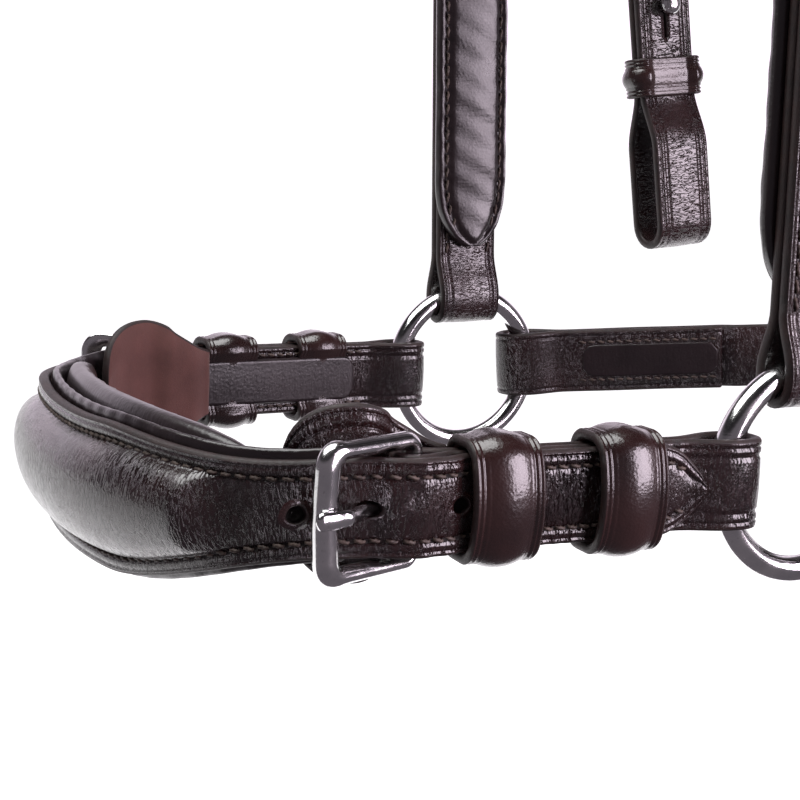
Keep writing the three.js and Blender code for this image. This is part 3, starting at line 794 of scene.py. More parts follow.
# painted shade for the insides of awl holes and punched holes
hole_shade = hole_shade_material()
steel = steel_material()
STRAP_SKIN = [grain_leather, raw_edge, grain_leather]
GUARD_SKIN = [grain_leather, raw_edge, flesh_leather]
KEEPER_SKIN = [keeper_leather, raw_edge, flesh_leather]
SOFT_SKIN = [soft_leather, soft_leather, soft_leather]


# ---------------------------------------------------------------- both sides
SIDES = ("right", "left")
FLIP = np.array([1, -1, 1])


def pair(name, shape, materials, body, node=None, holes=()):
    """A piece for each side; SIDE in its body's name stands for the side."""
    made = []
    for side in SIDES:
        own = shape if side == "right" else shape.mirrored()
        obj = build(f"{side}_{name}", own, materials, body.replace("SIDE", side),
                    f"{side}_{node}" if node else None)
        if holes:
            cut_holes(obj, [hole if side == "right" else hole.mirrored() for hole in holes])
        made.append(obj)
    return made


def both_halves(points, wide, *values):
    """A route from the left end to the right one, from its right half that starts in the middle plane."""
    points = np.concatenate([points[:0:-1] * FLIP, points])
    wide = np.concatenate([wide[:0:-1] * FLIP, wide])
    return points, wide, *[np.concatenate([value[:0:-1], value]) for value in values]


def spaced(start, end, pitch=1.3):
    return np.linspace(start, end, max(int(abs(end - start) / pitch), 3) + 1)


# ---------------------------------------------------------------- noseband
NOSE_TIP = 8.0                     # from the ring's wire to the billet's tip
NOSE_REACH = nose.length - NOSE_TIP
SWELL_END = 61.0
SWELL_FOOT = 4.3
SWELL_HEIGHT = 6.6
USED_HOLE = 9.6                    # from the heel bar to the hole in use
NOSE_STITCH = 3.6


def heel_lift(from_heel):
    return 2.25 * (1 - smooth(3, 10, np.abs(from_heel)))


def ring_lift(from_wire):
    return 3.2 * (1 - smooth(1, 14, from_wire))


def pointed(from_tip, length=12.0):
    """The share of a billet's width near its pointed end."""
    t = np.clip(from_tip / length, 0, 1)
    return 0.1 + 0.9 * (1 - (1 - t) ** 1.8) ** 0.75


def nose_width(s):
    return mix(16.4, STRAP_HALF, smooth(25, 80, np.abs(s)))


def nose_half(s):
    from_tip = nose.length - np.abs(s) - NOSE_TIP
    return nose_width(s) * pointed(from_tip)


def nose_lift(s):
    from_ring = nose.length - np.abs(s)
    return heel_lift(from_ring - NOSE_HEEL) + ring_lift(from_ring)


def swell(s, across, half):
    """The raised padding: steep at its stitched foot and evenly round on top, gone at its two ends."""
    along = 1 - smooth(SWELL_END - 10, SWELL_END, np.abs(s))
    reach = np.clip(np.abs(across) / np.maximum(half - SWELL_FOOT, 1), 0, 1)
    return SWELL_HEIGHT * along * (1 - reach ** 2) ** 0.6


def pull_of_stitches(s, across, half, pitch, inset, depth=0.16):
    """Leather drawn down a little at each stitch, in a line at an inset from the edge."""
    line = np.exp(-((np.abs(across) - (half - inset)) / 1.1) ** 2)
    return -depth * line * (0.75 + 0.25 * np.cos(2 * math.pi * s / pitch))


def tongue_bulge(from_heel, across):
    """A billet pushed up over its tongue, beside the hole in use."""
    return 1.3 * np.exp(-((from_heel - 6.4) / 3.2) ** 2) * np.exp(-(across / 3.6) ** 2)


def noseband_leather():
    s = spaced(-NOSE_REACH, NOSE_REACH, 1.0)
    points, _, wide, outward = nose.frames(s)
    points = points + outward * (BILLET_INNER + nose_lift(s))[:, None]
    section = strap_section(creases=(1.3,), channels=(NOSE_STITCH,), columns=27, flank=0.55)
    start = s[0]

    def raise_by(path_s, across, height):
        here = path_s + start
        half = nose_half(here)
        bulge = swell(here, across, half)
        rim = 0.22 * np.exp(-((np.abs(across) - (half - 2.4)) / 0.8) ** 2) * (height > 1)
        fold = 0.35 * np.sin((np.abs(here) - 96) * 0.9) * np.exp(-((np.abs(here) - 99) / 7) ** 2)
        bent = 0.14 * np.sin(here * 1.9 + 0.5 * across) * smooth(112, 122, np.abs(here))
        bent = bent * (1 - smooth(150, 160, np.abs(here)))
        pulled = pull_of_stitches(here, across, half, FINE_STITCH, NOSE_STITCH) * (height > 1)
        bent = bent + tongue_bulge(nose.length - np.abs(here) - NOSE_HEEL, across)
        return bulge * (0.97 + 0.03 * (height > 1)) + (rim + pulled) + (fold + bent) * (height > 1)

    def crackle(path_s):
        here = np.abs(path_s + start)
        from_ring = nose.length - here
        near_keepers = smooth(20, 30, from_ring) * (1 - smooth(58, 66, from_ring))
        near_buckle = np.exp(-((from_ring - NOSE_HEEL - 6) / 12) ** 2)
        swell_end = np.exp(-((here - SWELL_END) / 5) ** 2)
        return 0.1 + 0.9 * near_keepers + 0.6 * near_buckle + 0.5 * swell_end

    shape = ribbon(points, wide, nose_half(s), section, raise_by=raise_by, crackle=crackle, phase=1.3)
    used = NOSE_HEEL + USED_HOLE
    holes = [punch(side_line, used + step * HOLE_PITCH, stretch=1.15) for step in (1, -1, -2)]
    holes.append(punch(side_line, used + 1.9, radius=1.8, stretch=1.5))
    obj = build("noseband_leather", shape, BILLET_SKIN, "noseband", "noseband_leather")
    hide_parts("noseband_core")
    cut_holes(obj, holes + [hole.mirrored() for hole in holes])

    trim = Shape()
    for sign in (1, -1):
        def skin(distances, side, sign=sign):
            p, a, w, o = nose.frames(distances)
            half = nose_half(distances)
            out = BILLET_OUTER + nose_lift(distances) - 0.2
            return p + o * out[:, None] + w * (side * (half - NOSE_STITCH))[:, None], a, o
        trim.joined(stitch_rows(skin, 0, sign * (NOSE_REACH - 5), (1, -1), FINE_STITCH))
    for step in (1, -1, -2):
        at = NOSE_HEEL + USED_HOLE + step * HOLE_PITCH
        lip = hole_lip(side_line, at, BILLET_OUTER + float(heel_lift(at - NOSE_HEEL)))
        trim.joined(lip, lip.mirrored())
    build("noseband_stitching", trim, TRIM, "noseband")


def noseband_lining():
    """The soft roll behind the leather, just wider than it, ending short of the buckles."""
    reach = nose.length - NOSE_HEEL - 15
    s = spaced(-reach, reach, 1.5)
    points, _, wide, outward = nose.frames(s)
    half = nose_width(s) + 1.5
    points = points - outward * 0.4
    thickness = BILLET_INNER - GAP + 0.4

    def raise_by(path_s, across, height):
        return 0.12 * np.sin(path_s * 0.9 + 0.2 * across) * (np.abs(across) > 9)

    shape = ribbon(points, wide, half, roll_section(thickness, 32), raise_by=raise_by, phase=0.4)
    obj = build("noseband_lining", shape, SOFT_SKIN, "noseband", "noseband_lining")


def noseband_pad():
    """A full soft roll against the nose, thinning out to rounded ends."""
    reach = 67.0
    s = spaced(-reach, reach, 1.3)
    points, _, wide, outward = nose.frames(s)
    fullness = (1 - np.clip(np.abs(s) / (reach + 0.3), 0, 1) ** 5) ** 0.5
    thick = mix(1.6, 8, fullness)
    half = mix(9, 19, (1 - (np.abs(s) / (reach + 0.3)) ** 2.4) ** 0.7)
    top = -0.4 - GAP
    points = points + outward * (top - thick)[:, None]
    section = roll_section(8.0, 40, power=0.6)

    def raise_by(path_s, across, height):
        here = path_s - reach
        now = mix(1.6, 8, (1 - np.clip(np.abs(here) / (reach + 0.3), 0, 1) ** 5) ** 0.5)
        soft = 0.22 * np.sin(here * 0.55 + 0.1 * across) + 0.12 * np.sin(here * 1.3)
        return height * (now / 8 - 1) + soft * (height < 3)

    shape = ribbon(points, wide, half, section, raise_by=raise_by, middle=0.6, phase=2.2)
    obj = build("noseband_pad", shape, SOFT_SKIN, "noseband", "noseband_pad")


# ---------------------------------------------------------------- punched holes and their trim
def hole_lip(line, at, out, radius=1.75, stretch=1.15):
    """The leather pushed up round a punched hole, its pale worn rim, and a floor and lower wall down in the
    hole in painted shade (material 1) for the hole's dark inside.
    """
    # The faces up to the third ring, in material 1, are a floor and lower wall of painted shade standing in
    # for the dark hole; above them come the raw-edge rim and the grain.
    rings = [(0.05, -2.3, 1), (0.95, -2.3, 1), (0.93, -0.7, 1), (0.97, -0.05, 3), (1.08, 0.22, 3),
             (1.26, 0.28, 2), (1.48, 0.14, 2), (1.75, -0.12, 2)]
    turn = np.linspace(0, 2 * math.pi, 28, endpoint=False)
    v = []
    for scale, height, _ in rings:
        uneven = 1 + 0.03 * np.sin(3 * turn + at) + 0.02 * np.sin(5 * turn)
        v.append(line.at(at + stretch * radius * scale * uneven * np.cos(turn), out + height + 0 * turn,
                         radius * scale * uneven * np.sin(turn)))
    faces, _ = grid_faces(len(rings), len(turn), False, True)
    mats = np.repeat([mat for _, _, mat in rings[1:]], len(turn))
    v = np.concatenate(v)
    uv = np.stack([(v - line.start) @ line.a, (v - line.start) @ line.w], axis=1) / 100
    return Shape().add(v, [tuple(face) for face in faces], mats, uv, rub=0.25)


# ---------------------------------------------------------------- side straps and guards
def strap_stitches(line, start, end, inset=STITCH_INSET, pitch=COARSE_STITCH, half=STRAP_HALF, out=FOLD_HALF):
    """Two rows on each face of a folded strap."""
    shape = Shape()
    for face in (line, line.turned()):
        shape.joined(stitch_rows(on_line(face, out - 0.2), start, end, (half - inset, inset - half), pitch))
    return shape


def panel(line, start, end, half, rise, section_inset=1.2, crackle=0.1):
    """A thin soft lining panel let into the inner face of a strap, with a rolled edge."""
    s = spaced(start, end, 1.2)
    shape = [(-1, 0, -0.2, 0, 0), (-1, 0.15, rise * 0.6, 0, 0.1), (-1, 0.6, rise, 0, 0)]
    for share in (-1, -0.6, -0.2, 0.2, 0.6, 1):
        shape.append((share, section_inset * abs(share), rise + 0.12 * (1 - share ** 2), 0, 0))
    shape += [(1, 0.6, rise, 0, 0), (1, 0.15, rise * 0.6, 0, 0.1), (1, 0, -0.2, 0, 0)]
    from_end = np.minimum(s - start, end - s)
    share = 0.62 + 0.38 * np.sqrt(1 - (1 - np.clip(from_end / 3, 0, 1)) ** 2)
    return ribbon(line.at(s, FOLD_HALF + 0 * s), line.w, half * share, Section(shape, rise), crackle=crackle)


def side_straps():
    end = {**HEEL_EYE, "at": NOSE_HEEL}
    shape = folded_strap(side_line, RING_EYE, end, crackle=0.5)
    slot_cut = tongue_slot(side_line, NOSE_HEEL)
    pair("side_strap", shape, STRAP_SKIN, "noseband", "side_strap", holes=[slot_cut])
    lining = panel(side_line.turned(), 18, NOSE_HEEL - 4, STRAP_HALF - 3.3, 1.5)
    pair("side_strap_lining", lining, SOFT_SKIN, "noseband")
    rows = Shape()
    outer = on_line(side_line, FOLD_HALF - 0.15)
    rows.joined(stitch_rows(outer, 12, NOSE_HEEL - 9, (6.2, -6.2), FINE_STITCH))
    inner = side_line.turned()
    rows.joined(stitch_rows(on_line(inner, FOLD_HALF - 0.15), 14, NOSE_HEEL - 8, (7.6, -7.6), FINE_STITCH))
    across = side_line.at(np.full(5, 11.5), np.full(5, FOLD_HALF), np.linspace(-5, 5, 5))
    rows.joined(stitches(across, np.broadcast_to(side_line.w, (5, 3)), np.broadcast_to(side_line.o, (5, 3)),
                         FINE_STITCH))
    pair("side_stitching", rows, TRIM, "noseband")


def tongue_slot(line, heel_at):
    """The slot at the fold for the buckle's tongue."""
    return punch(line.moved(heel_at), 1.5, radius=2.0, stretch=2.6, depth=24)


def buckle_guards():
    """Rounded flaps under the nose buckles, creased along their edges."""
    middle, reach = NOSE_HEEL + 10.5, 17.5
    neck_at = NOSE_HEEL - 9
    from_ring = np.concatenate([spaced(middle + reach, middle, 0.8), spaced(middle, neck_at, 0.8)[1:]])
    from_ring[:8] = middle + reach * np.cos(np.linspace(0, math.acos(1 - 7 * 0.8 / reach), 8))
    points, _, wide, outward = nose.frames(nose.length - from_ring)
    share = np.clip((from_ring - middle) / reach, 0, 1)
    round_end = 18.5 * (1 - share ** 2.6) ** (1 / 2.6)
    half = np.maximum(mix(9.4, round_end, smooth(neck_at - 2, middle + 1, from_ring)), 1.2)
    out = -FOLD_HALF - GAP - heel_lift(from_ring - NOSE_HEEL) - 2.2
    points = points + outward * out[:, None]

    def raise_by(path_s, across, height):
        return -0.05 * np.maximum(np.abs(across) - 9, 0) + 0.1 * np.sin(across * 0.5 + path_s * 0.3)

    section = strap_section(thickness=2.2, creases=(1.7, 4.6), columns=15, groove=0.4)
    shape = ribbon(points, wide, half, section, raise_by=raise_by, middle=0.6, crackle=0.25, phase=0.9)
    pair("buckle_guard", shape, GUARD_SKIN, "noseband", "buckle_guard")


# ---------------------------------------------------------------- keepers
def keeper(line, at, depth, top, name, body, node):
    """A loop of leather round the straps, its two edges creased twice."""
    inner, outer = -FOLD_HALF - 0.25, top + 0.35
    reach, corner = STRAP_HALF + 0.75, 2.4
    corners = [(outer, -reach, math.pi / 2), (inner, -reach, math.pi), (inner, reach, -math.pi / 2),
               (outer, reach, 0)]
    path = []
    for out, wide, turn in corners:
        centre = (out - math.copysign(corner, out), wide - math.copysign(corner, wide))
        for step in np.linspace(0, math.pi / 2, 9):
            angle = turn - math.pi / 2 + step
            path.append((centre[0] + corner * math.cos(angle), centre[1] - corner * math.sin(angle)))
        nxt = corners[(corners.index((out, wide, turn)) + 1) % 4]
        ahead = (nxt[0] - math.copysign(corner, nxt[0]), nxt[1] - math.copysign(corner, nxt[1]))
        path += side_points(path[-1], (out, wide), nxt, ahead)
    path = np.array(path)
    arch = 2.3 * np.clip(1 - (path[:, 1] / reach) ** 2, 0, 1) * smooth(0, outer, path[:, 0])
    centred = line.at(at + 0 * arch, path[:, 0] + arch, path[:, 1])
    section = strap_section(thickness=2.2, creases=(1.2, 2.3), crown=1.0, columns=11, groove=0.34, soft=0.6)

    def raise_by(path_s, across, height):
        """Pared thin where it passes behind the straps."""
        behind = (path[:, :1] < 0) & (np.abs(path[:, 1:]) < reach - 2.5)
        return -height * 0.6 * behind

    shape = ribbon(centred, line.a, depth / 2, section, closed=True, raise_by=raise_by)
    return pair(name, shape, KEEPER_SKIN, body, node)


def side_points(last, here, nxt, ahead):
    """Points along a keeper's straight side, from its last rounded corner towards the next."""
    if here[0] == nxt[0]:
        return [(here[0], w) for w in np.linspace(last[1], ahead[1], 14)[1:-1]]
    return [(out, here[1]) for out in np.linspace(last[0], ahead[0], 6)[1:-1]]


# ---------------------------------------------------------------- buckles
FRAME_REACH = 22.0
BAR = 3.4
BAR_CORNER = BAR / 2 * math.sqrt(2)
FRAME_TILT = math.asin((BILLET_OUTER + GAP + BAR_CORNER) / FRAME_REACH)
SIDE_BAR = 12.3


def bar_section(height=3.5):
    """Half round on top, with a flat back and small rounded arrises."""
    points = [(-0.72, 0, 0, 0, 0), (-0.93, 0, 0.2, 0, 0), (-1, 0, 0.75, 0, 0)]
    for turn in np.linspace(math.pi, 0, 15)[1:-1]:
        points.append((math.cos(turn), 0, 0.75 + (height - 0.75) * math.sin(turn) ** 0.9, 0, 0))
    points += [(1, 0, 0.75, 0, 0), (0.93, 0, 0.2, 0, 0), (0.72, 0, 0, 0, 0)]
    return Section(points, height)


def buckle_frame(line, heel_at, name, body, node):
    """A heel-bar buckle: a rounded oblong of half-round bar, wider across its front."""
    along = math.cos(FRAME_TILT) * line.a + math.sin(FRAME_TILT) * line.o
    normal = math.cos(FRAME_TILT) * line.o - math.sin(FRAME_TILT) * line.a
    origin = line.at(heel_at)
    corner = 3.4
    front = FRAME_REACH + 0.7
    corners = [(front, SIDE_BAR, 0), (0, SIDE_BAR, 90), (0, -SIDE_BAR, 180), (front, -SIDE_BAR, 270)]
    path, half = [], []
    for number, (x, w, turn) in enumerate(corners):
        round_by = corner if x else 2.2
        centre = (x - math.copysign(round_by, x - 1), w - math.copysign(round_by, w))
        for step in np.linspace(0, math.pi / 2, 12):
            angle = math.radians(turn) + step
            path.append((centre[0] + round_by * math.cos(angle), centre[1] + round_by * math.sin(angle)))
        next_x, next_w, _ = corners[(number + 1) % 4]
        next_round = corner if next_x else 2.2
        ahead = (next_x - math.copysign(next_round, next_x - 1), next_w - math.copysign(next_round, next_w))
        if next_x == x:
            path += [(x, v) for v in np.linspace(path[-1][1], ahead[1], 16)[1:-1]]
        else:
            path += [(v, w) for v in np.linspace(path[-1][0], ahead[0], 12)[1:-1]]
    path = np.array(path)
    half = mix(1.8, 2.75, smooth(front - 4.5, front - 0.6, path[:, 0]))
    bow = 0.5 * smooth(SIDE_BAR, 0, np.abs(path[:, 1])) * (path[:, 0] > front - 4)
    points = (origin + along * (path[:, :1] + bow[:, None]) + line.w * path[:, 1:] - normal * BAR / 2)
    tangent = unit(np.roll(points, -1, axis=0) - np.roll(points, 1, axis=0))
    wide = np.cross(tangent, normal)
    shape = ribbon(points, wide, half, bar_section(), closed=True)
    return pair(name, shape, [steel], body, node)


def ease(low, high, x):
    """Rises evenly from 0 to 1, with only its ends softened."""
    t = np.clip((x - low) / (high - low), 0, 1)
    return mix(t, t * t * (3 - 2 * t), 0.35)


def tube(points, across, half_wide, half_thick, sides=18):
    """A closed rod along points, elliptical, with rounded ends."""
    points = np.asarray(points, float)
    along = unit(np.gradient(points, axis=0))
    up = unit(np.cross(across, along))
    turn = np.linspace(0, 2 * math.pi, sides, endpoint=False)
    ring = (np.cos(turn)[None, :, None] * across * np.asarray(half_wide)[:, None, None]
            + np.sin(turn)[None, :, None] * up[:, None, :] * np.asarray(half_thick)[:, None, None])
    v = (points[:, None, :] + ring).reshape(-1, 3)
    faces, _ = grid_faces(len(points), sides, False, True)
    caps = [tuple(range(sides)), tuple((len(points) - 1) * sides + k for k in range(sides))[::-1]]
    return Shape().add(v, [tuple(face[::-1]) for face in faces] + caps, 0)


def buckle_tongue(line, heel_at, name, body, node):
    """A curl round the heel bar and a shank that widens towards its rounded tip over the front bar."""
    along = math.cos(FRAME_TILT) * line.a + math.sin(FRAME_TILT) * line.o
    here = Line(line.at(heel_at), along, line.w)
    curl_radius = BAR / 2 + 0.25 + 0.75
    turn = np.linspace(math.radians(-250), math.pi / 2, 40)
    curl = np.stack([curl_radius * np.cos(turn), curl_radius * np.sin(turn)], axis=1)[::-1]
    t = np.linspace(0, 1, 40)[:, None]
    x = t * (FRAME_REACH + 5.8)
    rest = BAR / 2 + 1.15
    dip = mix(curl_radius, -0.1, smooth(0, 10, x)) + (rest + 0.1) * ease(11.5, FRAME_REACH - 1.4, x)
    shank = np.concatenate([x, dip - 0.9 * smooth(FRAME_REACH + 1, FRAME_REACH + 5.8, x)], axis=1)
    path = np.concatenate([curl[::-1], shank[1:]])
    share = np.concatenate([np.zeros(len(curl)), t[1:, 0]])
    end = np.clip((1 - share) * 40 / 2.2, 0, 1)
    start = np.clip(np.arange(len(path)) / 3, 0.35, 1)
    rounding = np.sqrt(1 - (1 - end) ** 2) * 0.85 + 0.15
    half_wide = mix(1.2, 1.85, np.clip((share - 0.4) / 0.45, 0, 1)) * rounding * start
    step = 0.25 * smooth(0.75, 0.77, share) * (1 - smooth(0.93, 0.97, share))
    half_thick = (mix(0.85, 1.3, smooth(0.3, 0.75, share)) - step) * rounding * start
    shape = tube(here.at(path[:, 0], path[:, 1]), here.w, half_wide, half_thick)
    return pair(name, shape, [steel], body, node)


def buckle(line, heel_at, place, body):
    buckle_frame(line, heel_at, f"{place}_buckle", body, f"{place}_buckle")
    buckle_tongue(line, heel_at, f"{place}_tongue", f"SIDE_{place}_tongue", f"{place}_tongue")


# ---------------------------------------------------------------- rings and studs
def torus(centre, axis, radius=RING_RADIUS, wire=RING_WIRE, turns=160, sides=28):
    axis = unit(axis)
    first = unit(np.cross(axis, (0.3, 0.9, 0.2)))
    second = np.cross(axis, first)
    t = np.linspace(0, 2 * math.pi, turns, endpoint=False)[:, None]
    p = np.linspace(0, 2 * math.pi, sides, endpoint=False)[None, :]
    out = np.cos(t)[..., None] * first + np.sin(t)[..., None] * second
    v = np.array(centre) + out * (radius + wire * np.cos(p))[..., None] + axis * (wire * np.sin(p))[..., None]
    faces, _ = grid_faces(turns, sides, True, True)
    return Shape().add(v.reshape(-1, 3), [tuple(face[::-1]) for face in faces], 0)


def lathe(line, profile, sides=36):
    """A turned piece standing on a line's outward direction."""
    turn = np.linspace(0, 2 * math.pi, sides, endpoint=False)
    v = [line.at(r * np.cos(turn), h + 0 * turn, r * np.sin(turn)) for r, h in profile]
    faces, _ = grid_faces(len(profile), sides, False, True)
    caps = [tuple(range(sides)), tuple((len(profile) - 1) * sides + k for k in range(sides))[::-1]]
    return Shape().add(np.concatenate(v), [tuple(face[::-1]) for face in faces] + caps, 0)


LEAD_RING = np.array([CHIN_MIDDLE[0], 0, CHIN_MIDDLE[2] - STRAP_HALF - LEATHER - 5.6 - RING_RADIUS])


def rings():
    pair("ring", torus((0, RING_SPAN, 0), (0, 1, 0)), [steel], "SIDE_ring", "ring")
    build("lead_ring", torus(LEAD_RING, (1, 0, 0)), [steel], "lead_ring", "lead_ring")


# ---------------------------------------------------------------- cheekpieces
def cheekpieces():
    end = {**HEEL_EYE, "at": CHEEK_HEEL}
    section = strap_section(creases=(1.0,), channels=(2.9,))
    shape = folded_strap(cheek_line, RING_EYE, end, section=section, crackle=0.12)
    pair("cheekpiece", shape, STRAP_SKIN, "headpiece", "cheekpiece",
         holes=[tongue_slot(cheek_line, CHEEK_HEEL)])
    rows = Shape()
    for face in (cheek_line, cheek_line.turned()):
        skin = on_line(face, FOLD_HALF - 0.2)
        rows.joined(stitch_rows(skin, 13, CHEEK_HEEL - 9, (7.1, -7.1), COARSE_STITCH))
    pair("cheek_stitching", rows, TRIM, "headpiece")


def cheek_linings():
    """A padded panel stitched behind each cheekpiece, with rounded pointed ends."""
    low, high, half, thickness = 16.0, 196.0, 12.0, 4.6
    face = cheek_line.turned()
    s = spaced(low, high, 0.9)
    from_end = np.minimum(s - low, high - s)
    t = np.clip((from_end + 0.4) / 20, 0, 1)
    share = 0.12 + 0.88 * (1 - (1 - t) ** 2.2) ** 0.62
    inset = 2.9

    def raise_by(path_s, across, height):
        here = np.clip(np.minimum(path_s, high - low - path_s) + 0.4, 0, 1e3)
        width = half * (0.12 + 0.88 * (1 - (1 - np.clip(here / 20, 0, 1)) ** 2.2) ** 0.62)
        seam = np.exp(-((np.abs(across) - (width - inset)) / 0.85) ** 2)
        scallop = 1.15 + 0.35 * np.cos(2 * math.pi * path_s / COARSE_STITCH)
        soft = 0.14 * np.sin(path_s * 0.31) + 0.1 * np.sin(path_s * 0.77 + across * 0.4)
        return (soft - seam * scallop) * (height > thickness / 2)

    shape = ribbon(face.at(s, FOLD_HALF + 0.2 + 0 * s), face.w, half * share, padded_section(thickness),
                   raise_by=raise_by, phase=0.7)
    for obj in pair("cheek_lining", shape, SOFT_SKIN, "headpiece", "cheek_lining"):
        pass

    def skin(distances, side):
        here = np.minimum(distances - low, high - distances) + 0.4
        width = half * (0.12 + 0.88 * (1 - (1 - np.clip(here / 20, 0, 1)) ** 2.2) ** 0.62)
        n = len(distances)
        points = face.at(distances, np.full(n, FOLD_HALF + thickness - 1.35), side * (width - inset))
        return points, np.broadcast_to(face.a, (n, 3)), np.broadcast_to(face.o, (n, 3))

    rows = stitch_rows(skin, low + 5, high - 5, (1, -1), COARSE_STITCH)
    pair("cheek_lining_stitching", rows, TRIM, "headpiece")


def padded_section(thickness, columns=25):
    """Flat against the strap and crowned over the padding, with a rolled edge."""
    points = [(-0.8, 0, 0, 0, 0), (-0.97, 0, 0.15, 0, 0), (-1, 0, thickness * 0.3, 0, 0),
              (-0.975, 0, thickness * 0.52, 0, 0)]
    for share in np.sin(np.linspace(-1, 1, columns) * math.pi / 2) * 0.93:
        points.append((share, 0, thickness * (0.68 + 0.32 * (1 - share ** 2)), 0, 0))
    points += [(-share, inset, height, mat, rub) for share, inset, height, mat, rub in points[:4][::-1]]
    points += [(0.4, 0, 0, 0, 0), (0, 0, 0, 0, 0), (-0.4, 0, 0, 0, 0)]
    return Section(points, thickness)


# ---------------------------------------------------------------- bit straps
STUD_AT = 76.0
BIT_LOOP = {"at": 32.0, "reach": 24.0, "radius": 5.2, "taper": 18.0}


def bit_straps():
    end = {**HEEL_EYE, "at": BIT_HEEL}
    shape = folded_strap(bit_line, BIT_LOOP, end, crackle=0.35)
    inner = bit_line.turned()
    pair("bit_strap", shape, STRAP_SKIN, "headpiece", "bit_strap",
         holes=[tongue_slot(bit_line, BIT_HEEL), keyhole(inner, STUD_AT)])
    rows = Shape()
    for face in (bit_line, inner):
        skin = on_line(face, FOLD_HALF - 0.2)
        rows.joined(stitch_rows(skin, STUD_AT + 14, BIT_HEEL - 9, (6.2, -6.2), FINE_STITCH))
    pair("bit_stitching", rows, TRIM, "headpiece")
    profile = [(2.5, 0.4), (2.5, 1.5), (1.6, 2.0), (1.5, 4.6), (1.8, 5.1), (2.9, 5.3), (3.35, 5.7),
               (3.4, 6.3), (3.2, 7.1), (2.6, 7.8), (1.6, 8.2), (0.5, 8.4)]
    stud = lathe(inner.moved(STUD_AT), profile)
    pair("hook_stud", stud, [steel], "headpiece", "hook_stud")


def keyhole(line, at, radius=2.5, slit=7.5, slit_half=0.6):
    """A cutter through a folded strap's near layer: a round hole with a slit running down from it."""
    open_by = math.asin(slit_half / radius)
    turn = np.linspace(math.pi + open_by, 3 * math.pi - open_by, 22)
    along = np.concatenate([radius * np.cos(turn), [-radius - slit, -radius - slit]])
    wide = np.concatenate([radius * np.sin(turn), [slit_half, -slit_half]])
    rows = [line.at(at + along, height + 0 * along, wide) for height in (0.0, 6.0)]
    sides = len(along)
    faces, _ = grid_faces(2, sides, False, True)
    caps = [tuple(range(sides)), tuple(sides + k for k in range(sides))[::-1]]
    return Shape().add(np.concatenate(rows), [tuple(face[::-1]) for face in faces] + caps, EDGE, rub=0.4)


# ---------------------------------------------------------------- throat and chin straps
def turned_back(route_points, route_wide, line, eye, end, start):
    """Adds to a half route the turned-back end: out along the outer layer, round the eye, back inside."""
    flat = FOLD_HALF - LEATHER / 2
    sign = 1 if eye["at"] > end else -1
    radius = eye["radius"] + LEATHER / 2
    rim = eye["at"] + sign * eye["reach"]
    near = eye["at"] - sign * eye["taper"]
    outer = flank((start, 0), (end, flat), 8)
    run = straight(end, near, flat)[1:]
    arc = eye_arc(rim, radius, sign)
    back = straight(near, end, -flat)[1:]
    path = np.concatenate([outer, run, flank((near, flat), (eye["at"], radius))[1:], arc,
                           flank((eye["at"], -radius), (near, -flat)), back])
    keep = np.concatenate([[True], np.linalg.norm(np.diff(path, axis=0), axis=1) > 0.05])
    path = path[keep]
    points = np.concatenate([route_points, line.at(path[:, 0], path[:, 1])])
    end_wide = line.w * sign_of(route_wide, line.w)
    across = np.concatenate([route_wide, np.broadcast_to(end_wide, (len(path), 3))])
    return points, across


def sign_of(route_wide, w):
    return 1.0 if np.dot(route_wide[-1], w) > 0 else -1.0


def centred(section):
    height = section.height - LEATHER / 2
    return Section(list(zip(section.share, section.inset, height, section.mats, section.rub)), 0.0)


def throat_strap():
    s = spaced(0, throat.length - THROAT_HEEL - 8, 2.0)
    points, _, wide, _ = throat.frames(s)
    eye = {**HEEL_EYE, "at": THROAT_HEEL}
    points, across = turned_back(points, wide, throat_line, eye, 0.0, -6.0)
    points, across = both_halves(points, across)
    section = centred(strap_section(creases=(CREASE_INSET,)))
    shape = ribbon(points, across, STRAP_HALF - 0.1, section, crackle=0.12)
    obj = build("throat_strap", shape, STRAP_SKIN, "headpiece", "throat_strap")
    slot_cut = tongue_slot(throat_line, THROAT_HEEL)
    cut_holes(obj, [slot_cut, slot_cut.mirrored()])
    rows = strap_stitches(throat_line, 3, THROAT_HEEL - 9, inset=3.4, pitch=FINE_STITCH)
    pair("throat_stitching", rows, TRIM, "headpiece")


def chin_strap():
    s = spaced(0, chin.length - 70, 1.6)
    points, _, wide, _ = chin.frames(s)
    line = Line(CHIN_END, np.array(CHIN_BEND) - np.array(CHIN_END), -wide[-1])
    if line.o[1] < 0:
        line = line.turned()
    eye = {**RING_EYE, "radius": RING_EYE["radius"] + 0.9}
    points, across = turned_back(points, wide, line, eye, 62.0, 68.0)
    points, across = both_halves(points, across)
    section = centred(strap_section(creases=(CREASE_INSET,)))
    shape = ribbon(points, across, STRAP_HALF - 0.1, section, crackle=0.2)
    build("chin_strap", shape, STRAP_SKIN, "chin_strap", "chin_strap")
    inner = line.turned()
    rows = strap_stitches(line, 17, 61, inset=3.9, pitch=FINE_STITCH)
    pair("chin_stitching", rows, TRIM, "chin_strap")
    lining = panel(inner, 19, 60.5, STRAP_HALF - 4.9, 0.3)
    pair("chin_strap_lining", lining, SOFT_SKIN, "chin_strap")


